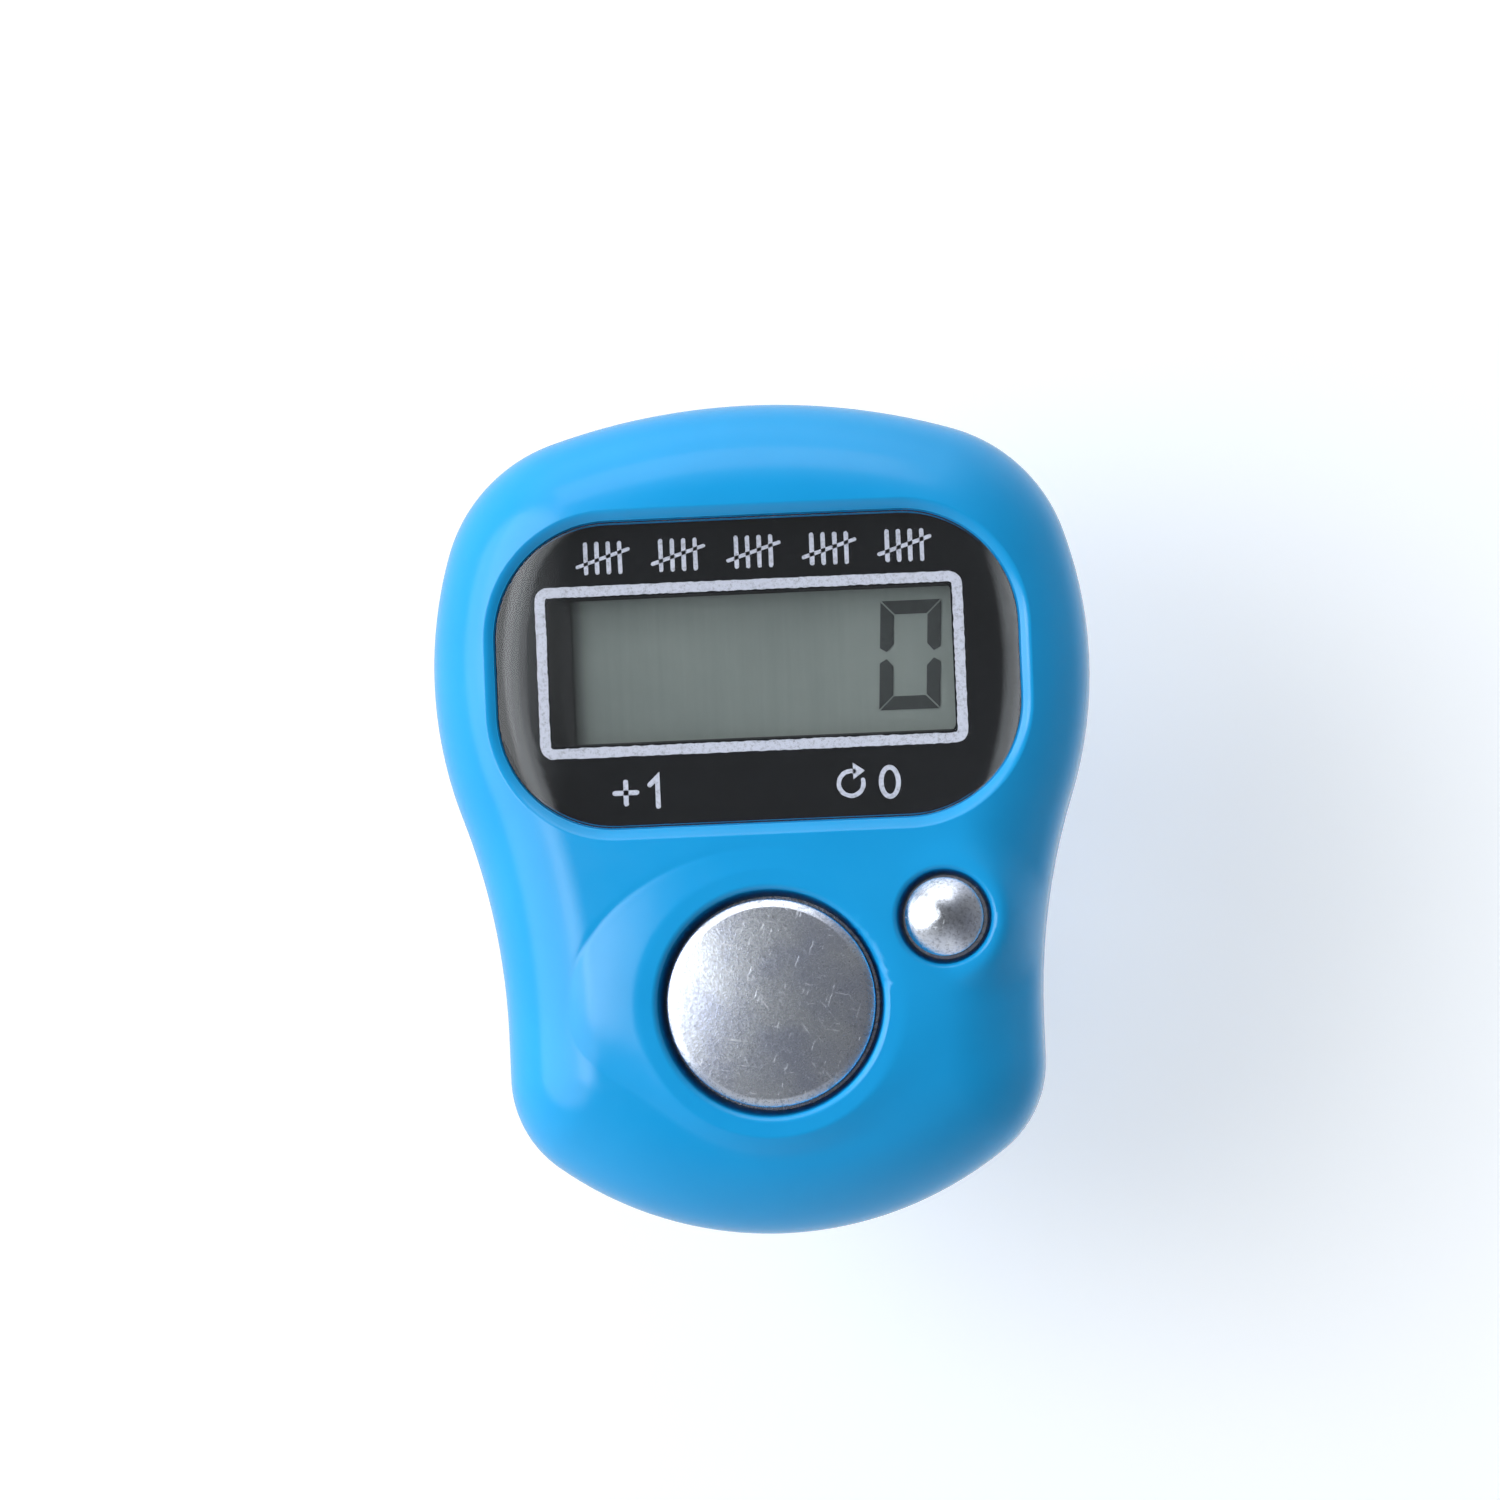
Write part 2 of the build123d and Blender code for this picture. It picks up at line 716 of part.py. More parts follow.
with BuildPart() as finger_strap:
    with BuildLine(Plane.YZ):
        run = Line((-run_half, back_z + run_h), (run_half, back_z + run_h))
        bend = JernArc(run @ 1, run % 1, bend_r, -lean)
        leg = Line(bend @ 1, bend @ 1 + (bend % 1) * leg_len)
        wrap = JernArc(leg @ 1, leg % 1, mid_r, -(360 - 2 * lean))
        rise = Line(wrap @ 1, wrap @ 1 + (wrap % 1) * leg_len)
        JernArc(rise @ 1, rise % 1, bend_r, -lean)
    with BuildSketch(Plane(origin=run @ 0, x_dir=(1, 0, 0), z_dir=run % 0)):
        RectangleRounded(strap_w, strap_t, strap_corner)
    sweep()
    with BuildLine(Plane.YZ) as tail_path:
        CenterArc((0, 0), tail_r, 90 - tail_from, tail_from - tail_to)
    with BuildSketch(Plane(origin=tail_path.line @ 0, x_dir=(1, 0, 0), z_dir=tail_path.line % 0)):
        RectangleRounded(strap_w, strap_t, strap_corner)
    sweep(path=tail_path.line)
    with BuildSketch(round_loop(tail_from - 6, mid_r)):
        Rectangle(strap_w - 1, 2.4)
    extrude(amount=strap_t + tail_gap)
    with BuildSketch(round_loop(peg_at, mid_r)):
        Circle(hole_r - 0.02)
    extrude(amount=1.5 * strap_t + tail_gap + 0.75)
    with BuildSketch(round_loop(peg_at, mid_r + 1.5 * strap_t + tail_gap)):
        Circle(1.35)
    extrude(amount=0.7, taper=18)
    for step in (1, 2, 3, 4):
        with BuildSketch(round_loop(peg_at + step * hole_step, mid_r + strap_t / 2 + tail_gap / 2)):
            Circle(hole_r)
        extrude(amount=2, mode=Mode.SUBTRACT)

pieces = {
    "front_cover": front_cover,
    "back_cover": back_cover,
    "battery_door": battery_door,
    "display_window": display_window,
    "window_print": window_print,
    "window_adhesive": window_adhesive,
    "lcd_holder": lcd_holder,
    "lcd_front_polarizer": lcd_front_polarizer,
    "lcd_front_glass": lcd_front_glass,
    "lcd_rear_glass": lcd_rear_glass,
    "lcd_reflector": lcd_reflector,
    "zebra_connector": zebra_connector,
    "circuit_board": circuit_board,
    "chip_blob": chip_blob,
    "board_components": board_components,
    "contact_pads": contact_pads,
    "count_button": count_button,
    "reset_button": reset_button,
    "count_dome": count_dome,
    "reset_dome": reset_dome,
    "count_contact_pill": count_contact_pill,
    "reset_contact_pill": reset_contact_pill,
    "cell_can": cell_can,
    "cell_gasket": cell_gasket,
    "cell_cap": cell_cap,
    "battery_contact_negative": battery_contact_negative,
    "battery_contact_positive": battery_contact_positive,
    "case_screws": case_screw_set,
    "board_screws": board_screw_set,
    "finger_strap": finger_strap,
}

for name, piece in pieces.items():
    piece.part.label = name
    export_step(piece.part, f"parts/{name}.step")
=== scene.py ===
"""The hand tally counter's looks: blue case, domed window, display, metal keys and strap.

Shapes are worked out in millimetres in the case's own frame: x and y from the case's middle,
h up from the case's back face. put() turns them into the part's frame, in metres.
"""

import bisect
import json
import random
from math import asin, atan2, cos, degrees, dist, exp, hypot, pi, radians, sin, sqrt, tan

import bmesh
import bpy
from mathutils import Matrix, Vector
from mathutils.geometry import delaunay_2d_cdt


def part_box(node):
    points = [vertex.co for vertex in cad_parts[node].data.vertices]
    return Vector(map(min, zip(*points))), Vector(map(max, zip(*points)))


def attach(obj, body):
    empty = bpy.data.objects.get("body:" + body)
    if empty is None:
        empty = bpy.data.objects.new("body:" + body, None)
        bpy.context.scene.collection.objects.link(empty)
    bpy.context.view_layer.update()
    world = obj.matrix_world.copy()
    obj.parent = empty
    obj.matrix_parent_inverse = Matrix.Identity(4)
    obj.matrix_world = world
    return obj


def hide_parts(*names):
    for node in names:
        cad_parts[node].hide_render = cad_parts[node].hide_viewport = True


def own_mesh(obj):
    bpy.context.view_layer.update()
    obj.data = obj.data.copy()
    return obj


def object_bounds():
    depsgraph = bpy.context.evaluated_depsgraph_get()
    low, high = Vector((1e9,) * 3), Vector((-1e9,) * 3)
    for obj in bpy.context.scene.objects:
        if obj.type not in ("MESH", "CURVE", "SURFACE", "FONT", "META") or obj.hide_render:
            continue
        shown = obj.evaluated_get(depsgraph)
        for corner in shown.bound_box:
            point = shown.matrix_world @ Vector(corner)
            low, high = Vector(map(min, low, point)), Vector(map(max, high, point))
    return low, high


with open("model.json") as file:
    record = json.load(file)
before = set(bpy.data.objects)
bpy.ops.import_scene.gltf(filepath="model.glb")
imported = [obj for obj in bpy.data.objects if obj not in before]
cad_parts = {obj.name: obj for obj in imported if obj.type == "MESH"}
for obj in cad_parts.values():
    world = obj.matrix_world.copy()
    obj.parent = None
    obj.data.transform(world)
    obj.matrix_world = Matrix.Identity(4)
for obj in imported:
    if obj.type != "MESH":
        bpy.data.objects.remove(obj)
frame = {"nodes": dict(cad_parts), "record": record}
cad_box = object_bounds()
nodes = frame["nodes"]
random.seed(7)

MM = 0.001

# ---- Sizes, in millimetres ----

# the case's outline, clockwise from the top centre: each arc's radius and turn in degrees
TOP_Y = 18.97
CROWN = (30.5, -17.5)
SHOULDER = (7.5, -54.7)
FLANK = (19.0, -37.0)
WAIST = (30.7, 19.2)
HIP, HIP_POINTS = 1.92, 8  # a straight run
CORNER = (5.1, -52.7)

PARTING_H = 5.2
DOME_H, DOME_Y = 11.35, 3.0
DOME_ACROSS_R, DOME_ALONG_R = 100.0, 400.0
FRONT_ROUND = 4.4
SEAM = 0.14
WALL = 1.4

# rounded rectangles are given as x, y, width, length, corner radius
WINDOW = (0.0, 6.8, 23.8, 13.9, 5.3)
WINDOW_SINK = 0.35
WINDOW_LOW_H = 9.75
SEAT_H, SEAT_UNDER_H = 9.55, 8.65
SEAT_OPEN = (0.0, 6.9, 20.6, 9.0, 0.8)
LIP_W, LIP_DROP, LIP_CURVE = 0.5, 0.42, 1.35
GAP = 0.08

COUNT = (0.0, -8.36)
COUNT_HOLE_R, COUNT_RIM_R, COUNT_RIM_H = 5.15, 6.1, 11.42
RESET = (8.0, -4.77)
RESET_HOLE_R, RESET_RIM_R, RESET_RIM_H = 2.15, 2.75, 11.15
COUNT_EDGE_ROUND, RESET_EDGE_ROUND = 0.30, 0.25
COUNT_WELL_R, RESET_WELL_R = 4.86, 1.92  # the key holes' lower ends
COUNT_KEY_R, COUNT_FLANGE_R, COUNT_TOP_H, COUNT_CROWN = 4.73, 5.8, 11.15, 0.3
KEY_FLANGE_T = 0.7
BEVEL_W, BEVEL_TILT, BEVEL_ROUND, BEVEL_CORNER = 0.4, radians(26), 0.2, 0.08

CASE_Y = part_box("front_cover")[1].y / MM - TOP_Y
BACK_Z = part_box("back_cover")[0].z / MM
PRINT_TOP_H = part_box("window_print")[1].z / MM - BACK_Z
LCD_TOP_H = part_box("lcd_front_polarizer")[1].z / MM - BACK_Z


def put(x, y, h):
    return Vector((x, y + CASE_Y, h + BACK_Z)) * MM


# ---- Materials ----


def new_material(name):
    mat = bpy.data.materials.new(name)
    mat.use_nodes = True
    nt = mat.node_tree
    nt.nodes.clear()
    out = add(nt, "OutputMaterial")
    shader = add(nt, "BsdfPrincipled")
    feed(out, Surface=shader.outputs[0])
    return mat, nt, shader


def feed(node, **values):
    """Sets a node's inputs to values, or links them to sockets."""
    for key, value in values.items():
        socket = node.inputs[key.replace("_", " ")]
        if isinstance(value, bpy.types.NodeSocket):
            node.id_data.links.new(value, socket)
        else:
            socket.default_value = value


def add(nt, kind, **values):
    """A new shader node with some of its inputs set."""
    node = nt.nodes.new("ShaderNode" + kind)
    feed(node, **values)
    return node


def mapped(nt, kind, scale, angle=0.0):
    """Object coordinates through a mapping node."""
    where = add(nt, "TexCoord").outputs["Object"]
    turn = (0, 0, radians(angle))
    mapping = add(nt, "Mapping", Vector=where, Rotation=turn, Scale=scale)
    mapping.vector_type = kind
    return mapping.outputs["Vector"]


def place(nt, scale=(1, 1, 1)):
    """Object coordinates in millimetres, stretched by scale."""
    return mapped(nt, "POINT", [s / MM for s in scale])


def noise(nt, vector, scale, detail=3.0, rough=0.55):
    node = add(nt, "TexNoise", Vector=vector, Scale=scale, Detail=detail, Roughness=rough)
    return node.outputs["Fac"]


def ramp(nt, factor, stops):
    node = add(nt, "ValToRGB", Fac=factor)
    for n, (at, value) in enumerate(stops):
        elements = node.color_ramp.elements
        element = elements[n] if n < 2 else elements.new(at)
        element.position = at
        element.color = (*value, 1) if isinstance(value, tuple) else (value, value, value, 1)
    return node.outputs["Color"]


def combine(nt, kind, a, b):
    node = add(nt, "Math")
    node.operation = kind
    for socket, value in zip(node.inputs, (a, b)):
        if isinstance(value, (int, float)):
            socket.default_value = value
        else:
            nt.links.new(value, socket)
    return node.outputs[0]


def blend(nt, kind, a, b, factor=1.0):
    """Mixes two colours; factor is a number or a socket."""
    node = add(nt, "Mix")
    node.data_type = "RGBA"
    node.blend_type = kind
    feed(node, Factor=factor, A=a, B=b)
    return node.outputs["Result"]


def bump(nt, shader, height, strength, distance):
    node = add(nt, "Bump", Height=height, Strength=strength, Distance=distance * MM)
    feed(shader, Normal=node.outputs["Normal"])


def scratched(nt, shader, marks, gloss, dulling, height, depth, strength, distance):
    """Roughness and bump of a surface, with the marks rougher and cut in."""
    rough = combine(nt, "ADD", gloss, combine(nt, "MULTIPLY", marks, dulling))
    feed(shader, Roughness=rough)
    cut = combine(nt, "SUBTRACT", height, combine(nt, "MULTIPLY", marks, depth))
    bump(nt, shader, cut, strength, distance)


def scratches(nt, scale, angle):
    """Short fine lines: a noise stretched along one direction, cut to its crests."""
    where = mapped(nt, "TEXTURE", [s * MM / scale for s in (1.0, 11.0, 2.0)], angle)
    lines = noise(nt, where, 1.0, 3.0, 0.7)
    return ramp(nt, lines, [(0.66, 0.0), (0.71, 1.0)])


def moulded(name, dark, light, rough, haze=0.06, wear=0.4):
    """Moulded plastic: two close colours, uneven gloss, faint flow marks and fine wear lines."""
    mat, nt, shader = new_material(name)
    where = place(nt)
    tone = noise(nt, where, 0.12, 4.0)
    feed(shader, Base_Color=ramp(nt, tone, [(0.3, dark), (0.7, light)]))
    cloud = noise(nt, where, 0.9, 5.0)
    marks = combine(nt, "MAXIMUM", scratches(nt, 3.4, 24), scratches(nt, 2.8, -58))
    gloss = ramp(nt, cloud, [(0.3, rough - haze / 2), (0.75, rough + haze / 2)])
    flow = noise(nt, where, 0.35, 2.0)
    scratched(nt, shader, marks, gloss, 0.07 * wear, flow, 0.03, 0.2, 0.04)
    return mat, nt, shader


def blue_plastic(name, dark, light, rough):
    mat, _, shader = moulded(name, dark, light, rough)
    feed(shader, Subsurface_Weight=0.08, Subsurface_Scale=0.8 * MM, IOR=1.48)
    feed(shader, Subsurface_Radius=(0.25, 0.7, 1.0))
    return mat


def clear_acrylic(name, tint, rough):
    """Clear and lightly scratched, and it lets lamps through to what is behind it."""
    mat, nt, shader = new_material(name)
    where = place(nt)
    feed(shader, Base_Color=(*tint, 1), Transmission_Weight=1.0, IOR=1.49)
    smear = noise(nt, where, 0.5, 5.0)
    marks = combine(nt, "MAXIMUM", scratches(nt, 1.6, 80), scratches(nt, 2.3, 12))
    gloss = ramp(nt, smear, [(0.35, rough * 0.5), (0.8, rough * 1.6)])
    scratched(nt, shader, marks, gloss, 0.05, smear, 0.4, 0.06, 0.03)
    out = next(n for n in nt.nodes if n.type == "OUTPUT_MATERIAL")
    paths = add(nt, "LightPath")
    clear = add(nt, "BsdfTransparent")
    mix = add(nt, "MixShader")
    sources = (paths.outputs["Is Shadow Ray"], shader.outputs[0], clear.outputs[0])
    for source, socket in zip(sources, mix.inputs):
        nt.links.new(source, socket)
    feed(out, Surface=mix.outputs[0])
    return mat


def bright_metal(name, rough):
    """Worn bright metal: satin mottling, fine rubbed lines every way and a few dark specks."""
    mat, nt, shader = new_material(name)
    where = place(nt)
    mottle = noise(nt, where, 5.5, 7.0, 0.68)
    cloud = noise(nt, where, 0.42, 4.0)
    marks = combine(nt, "MAXIMUM", scratches(nt, 6.0, 35), scratches(nt, 7.0, -20))
    marks = combine(nt, "MAXIMUM", marks, scratches(nt, 6.5, 78))
    specks = ramp(nt, noise(nt, where, 3.4, 2.0, 0.5), [(0.24, 0.62), (0.29, 1.0)])
    shade = ramp(nt, cloud, [(0.36, (0.75, 0.78, 0.92)), (0.62, (0.91, 0.93, 1.0))])
    grain = ramp(nt, mottle, [(0.36, 0.60), (0.48, 0.92), (0.60, 1.0)])
    worn = blend(nt, "MULTIPLY", blend(nt, "MULTIPLY", shade, grain), specks)
    rubbed = blend(nt, "MIX", worn, (0.96, 0.96, 1.0, 1.0), combine(nt, "MULTIPLY", marks, 0.4))
    feed(shader, Base_Color=rubbed, Metallic=1.0)
    gloss = ramp(nt, mottle, [(0.38, rough * 1.5), (0.60, rough)])
    scratched(nt, shader, marks, gloss, 0.12, mottle, 0.4, 0.3, 0.03)
    return mat


def plain_metal(name, dark, light, rough):
    mat, _, shader = moulded(name, dark, light, rough, haze=0.12, wear=1.0)
    feed(shader, Metallic=1.0)
    return mat


def silicone(name, dark, light):
    """Silicone rubber: soft sheen, fine pebbled skin, tone that varies at random."""
    mat, nt, shader = new_material(name)
    where = place(nt)
    tone = noise(nt, where, 0.25, 5.0)
    feed(shader, Base_Color=ramp(nt, tone, [(0.3, dark), (0.7, light)]))
    grain = noise(nt, where, 9.0, 3.0, 0.6)
    feed(shader, Roughness=ramp(nt, grain, [(0.3, 0.42), (0.75, 0.58)]))
    feed(shader, Sheen_Weight=0.25, Sheen_Roughness=0.4, IOR=1.42)
    bump(nt, shader, grain, 0.35, 0.03)
    return mat


def ink(name, colour, rough):
    """Screen-printed ink: thin spots and pinholes where the cover is uneven."""
    mat, nt, shader = new_material(name)
    where = place(nt)
    cover = noise(nt, where, 6.0, 6.0, 0.8)
    thin = tuple(c * 0.5 for c in colour)
    tint = ramp(nt, cover, [(0.34, thin), (0.50, colour)])
    feed(shader, Base_Color=tint, Roughness=rough)
    bump(nt, shader, cover, 0.2, 0.01)
    return mat


def display_film(name, left, right):
    """Grey-green display surface between two x: upright streaks, and a painted shadow down its
    left, where the window's frame shades the display.
    """
    mat, nt, shader = new_material(name)
    streak = noise(nt, place(nt, (3.2, 0.10, 1)), 1.0, 4.0, 0.6)
    cloud = noise(nt, place(nt), 0.16, 4.0)
    faint = combine(nt, "MULTIPLY", streak, 0.3)
    tone = combine(nt, "ADD", faint, combine(nt, "MULTIPLY", cloud, 0.7))
    dark = (0.164, 0.190, 0.177)
    light = (0.204, 0.230, 0.214)
    tint = ramp(nt, tone, [(0.35, dark), (0.65, light)])
    # painted shadow: the colour darkens towards the left x, standing in for the window frame's
    # shade falling on the display
    split = add(nt, "SeparateXYZ", Vector=place(nt))
    along = combine(nt, "DIVIDE", combine(nt, "SUBTRACT", split.outputs[0], left), right - left)
    edge = ramp(nt, along, [(0.0, 0.12), (0.015, 0.34), (0.036, 0.82), (0.06, 1.0)])
    feed(shader, Base_Color=blend(nt, "MULTIPLY", tint, edge), Roughness=0.5)
    bump(nt, shader, streak, 0.1, 0.01)
    return mat


case_blue = blue_plastic("case_blue", (0.006, 0.35, 0.745), (0.010, 0.38, 0.795), 0.18)
back_blue = blue_plastic("back_blue", (0.007, 0.34, 0.73), (0.011, 0.37, 0.78), 0.24)
window_clear = clear_acrylic("window_clear", (0.97, 0.98, 0.98), 0.03)
glass_clear = clear_acrylic("glass_clear", (0.94, 0.97, 0.95), 0.02)
count_metal = bright_metal("count_metal", 0.21)
reset_metal = bright_metal("reset_metal", 0.12)
steel = plain_metal("screw_steel", (0.42, 0.43, 0.45), (0.58, 0.59, 0.60), 0.32)
cell_steel = plain_metal("cell_steel", (0.62, 0.62, 0.60), (0.74, 0.74, 0.72), 0.22)
brass = plain_metal("contact_brass", (0.60, 0.45, 0.20), (0.78, 0.60, 0.30), 0.28)
gold = plain_metal("pad_gold", (0.70, 0.48, 0.16), (0.86, 0.62, 0.26), 0.25)
black_film, _, film_shader = moulded(
    "print_black", (0.004, 0.0042, 0.005), (0.007, 0.0074, 0.009), 0.35
)
feed(film_shader, Specular_IOR_Level=0.12)
black_plastic = moulded("holder_black", (0.010, 0.010, 0.011), (0.018, 0.018, 0.019), 0.45)[0]
white_ink = ink("print_white", (0.64, 0.65, 0.75), 0.5)
segment_ink = ink("segment_dark", (0.024, 0.028, 0.028), 0.4)
# the display's colour carries a painted shadow that darkens its left from x = -8.4 mm
lcd_film = display_film("display_film", -8.4, 8.9)
tape = moulded("adhesive_tape", (0.62, 0.62, 0.58), (0.74, 0.74, 0.70), 0.6)[0]
mask_green = moulded("board_green", (0.010, 0.10, 0.035), (0.020, 0.16, 0.055), 0.3)[0]
epoxy = moulded("epoxy_black", (0.006, 0.006, 0.006), (0.014, 0.014, 0.014), 0.22)[0]
ceramic = moulded("component_tan", (0.20, 0.15, 0.09), (0.36, 0.28, 0.18), 0.42)[0]
grey_silicone = silicone("dome_silicone", (0.42, 0.43, 0.42), (0.55, 0.56, 0.54))
carbon = silicone("pill_carbon", (0.012, 0.012, 0.012), (0.03, 0.03, 0.03))
zebra = silicone("connector_silicone", (0.16, 0.16, 0.17), (0.40, 0.40, 0.41))
nylon = moulded("gasket_nylon", (0.03, 0.10, 0.05), (0.06, 0.16, 0.09), 0.4)[0]
strap_blue = silicone("strap_silicone", (0.026, 0.33, 0.74), (0.036, 0.38, 0.82))

for material, names in (
    (back_blue, "back_cover battery_door"),
    (black_film, "window_print"),
    (tape, "window_adhesive"),
    (black_plastic, "lcd_holder"),
    (lcd_film, "lcd_front_polarizer lcd_reflector"),
    (glass_clear, "lcd_front_glass lcd_rear_glass"),
    (zebra, "zebra_connector"),
    (mask_green, "circuit_board"),
    (epoxy, "chip_blob"),
    (ceramic, "board_components"),
    (gold, "contact_pads"),
    (reset_metal, "reset_button"),
    (grey_silicone, "count_dome reset_dome"),
    (carbon, "count_contact_pill reset_contact_pill"),
    (cell_steel, "cell_can cell_cap"),
    (nylon, "cell_gasket"),
    (brass, "battery_contact_negative battery_contact_positive"),
    (steel, "case_screws board_screws"),
):
    for name in names.split():
        for material_slot in nodes[name].material_slots:
            material_slot.material = material


# ---- Mesh helpers ----


def make_piece(name, built, material, body, replaces=(), angle=35, where=put):
    """A piece from a Builder's points, welded, turned outwards and smooth up to an angle."""
    mesh = bpy.data.meshes.new(name)
    mesh.from_pydata([where(*v) for v in built.verts], [], built.faces)
    weld(mesh)
    mesh.shade_smooth()
    mesh.set_sharp_from_angle(angle=radians(angle))
    mesh.materials.append(material)
    piece = bpy.data.objects.new(name, mesh)
    bpy.context.scene.collection.objects.link(piece)
    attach(piece, body)
    if replaces:
        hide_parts(*replaces)
    return piece


def weld(mesh):
    """Joins points that coincide, drops empty faces and turns all faces outwards."""
    bm = bmesh.new()
    bm.from_mesh(mesh)
    bmesh.ops.remove_doubles(bm, verts=bm.verts, dist=1e-7)
    bmesh.ops.dissolve_degenerate(bm, edges=bm.edges, dist=1e-8)
    bmesh.ops.recalc_face_normals(bm, faces=bm.faces)
    bm.to_mesh(mesh)
    bm.free()


def shade_as(piece, surface):
    """Gives the points that lie on a height field h = surface(x, y) that field's normals."""
    mesh = piece.data
    step, near_edge, off_surface, steep = 0.012, 0.2, 0.003, 0.15
    known = {}

    def normal_at(index):
        x, y, h = mesh.vertices[index].co / MM - Vector((0, CASE_Y, BACK_Z))
        if inset(x, y) < near_edge or abs(surface(x, y) - h) > off_surface:
            return (0, 0, 0)
        rise_x = (surface(x + step, y) - surface(x - step, y)) / (2 * step)
        rise_y = (surface(x, y + step) - surface(x, y - step)) / (2 * step)
        return Vector((-rise_x, -rise_y, 1)).normalized()

    normals = [(0, 0, 0)] * len(mesh.loops)
    for face in mesh.polygons:
        if face.normal.z < steep:
            continue
        for loop in face.loop_indices:
            index = mesh.loops[loop].vertex_index
            if index not in known:
                known[index] = normal_at(index)
            normals[loop] = known[index]
    mesh.normals_split_custom_set(normals)


def spaced(families, gap):
    """Points of every family, leaving out those too near to an earlier family's."""
    taken, kept = {}, []
    for family in families:
        fresh = []
        for x, y in family:
            i, j = round(x / gap), round(y / gap)
            around = [taken.get((i + a, j + b), ()) for a in (-1, 0, 1) for b in (-1, 0, 1)]
            if all((x - u) ** 2 + (y - v) ** 2 > gap * gap for cell in around for u, v in cell):
                fresh.append((x, y))
        for x, y in fresh:
            taken.setdefault((round(x / gap), round(y / gap)), []).append((x, y))
        kept += fresh
    return kept


def case_arcs():
    """The outline's right half: arcs as (cx, cy, radius, side, heading, turn), and the hip's top.

    Headings are in degrees, 0 along +X; side is 1 on the hollow waist and -1 elsewhere.
    """
    x, y, heading = 0.0, TOP_Y, 0.0
    arcs, hip_top = [], None
    for item in (CROWN, SHOULDER, FLANK, WAIST, None, CORNER, BASE):
        if item is None:
            hip_top = (x, y)
            y -= HIP
            continue
        radius, turn = item
        if radius is None:
            radius = x / sin(radians(-turn))
        side = 1 if turn > 0 else -1
        cx = x - side * radius * sin(radians(heading))
        cy = y + side * radius * cos(radians(heading))
        arcs.append((cx, cy, radius, side, heading, turn))
        heading += turn
        a = radians(heading)
        x, y = cx + side * radius * sin(a), cy - side * radius * cos(a)
    return arcs, hip_top


BASE = (None, -90 - CORNER[1])  # its radius closes the outline on the axis
CASE_ARCS, HIP_TOP = case_arcs()


def case_path(step):
    """Points and outward normals round the case, clockwise from the top centre."""
    half = []
    for cx, cy, radius, side, heading, turn in CASE_ARCS:
        if turn == CORNER[1]:  # the hip leads to the corner
            x, y = HIP_TOP
            run = [HIP * n / HIP_POINTS for n in range(HIP_POINTS)]
            half += [(x, y - along, radians(heading)) for along in run]
        count = max(4, round(radius * abs(radians(turn)) / step))
        for n in range(count):
            a = radians(heading + turn * n / count)
            half.append((cx + side * radius * sin(a), cy - side * radius * cos(a), a))
    half.append((0.0, cy - radius, radians(-180)))
    path = [(x, y, -sin(a), cos(a)) for x, y, a in half]
    path += [(-x, y, -nx, ny) for x, y, nx, ny in reversed(path[1:-1])]
    return path


CASE_PATH = case_path(0.24)
ARC_SLACK = 0.6  # degrees past its ends where an arc still counts


def inset(x, y):
    """How far inside the case's outline a point lies, from the nearest edge."""
    x = abs(x)
    best = 99.0
    if HIP_TOP[1] - HIP <= y <= HIP_TOP[1]:
        best = HIP_TOP[0] - x
    for cx, cy, radius, side, start, turn in CASE_ARCS:
        dx, dy = x - cx, y - cy
        heading = degrees(atan2(side * dx, -side * dy))
        if heading > 90:
            heading -= 360
        low, high = sorted((start, start + turn))
        if low - ARC_SLACK <= heading <= high + ARC_SLACK:
            best = min(best, side * (hypot(dx, dy) - radius))
    return best


def rounded_distance(shape, x, y):
    """Signed distance outside a rounded rectangle."""
    cx, cy, width, length, radius = shape
    qx = abs(x - cx) - (width / 2 - radius)
    qy = abs(y - cy) - (length / 2 - radius)
    return hypot(max(qx, 0), max(qy, 0)) + min(max(qx, qy), 0) - radius


def rounded_loop(shape, grow, step):
    """Points round a rounded rectangle, counter-clockwise, grown by a distance."""
    cx, cy, width, length, radius = shape
    r = radius + grow
    loop = []
    corners = ((1, 1, 0), (-1, 1, 90), (-1, -1, 180), (1, -1, 270))
    for sx, sy, start in corners:
        ax, ay = cx + sx * (width / 2 - radius), cy + sy * (length / 2 - radius)
        count = max(3, round(radius * pi / 2 / step))
        for n in range(count + 1):
            a = radians(start + 90 * n / count)
            loop.append((ax + r * cos(a), ay + r * sin(a)))
        span = (length if sx * sy < 0 else width) - 2 * radius
        count = max(1, round(span / step))
        ex, ey = loop[-1]
        dx, dy = ((-1, 0), (0, -1), (1, 0), (0, 1))[start // 90]
        for n in range(1, count):
            loop.append((ex + dx * span * n / count, ey + dy * span * n / count))
    return loop


def circle_loop(centre, radius, count):
    x, y = centre
    turns = [2 * pi * n / count for n in range(count)]
    return [(x + radius * cos(a), y + radius * sin(a)) for a in turns]


def inside_loops(loops, x, y):
    """True where an odd number of the loops lie round a point."""
    crossings = 0
    for loop in loops:
        for (ax, ay), (bx, by) in zip(loop, loop[1:] + loop[:1]):
            if (ay > y) != (by > y) and x < ax + (bx - ax) * (y - ay) / (by - ay):
                crossings += 1
    return crossings % 2 == 1


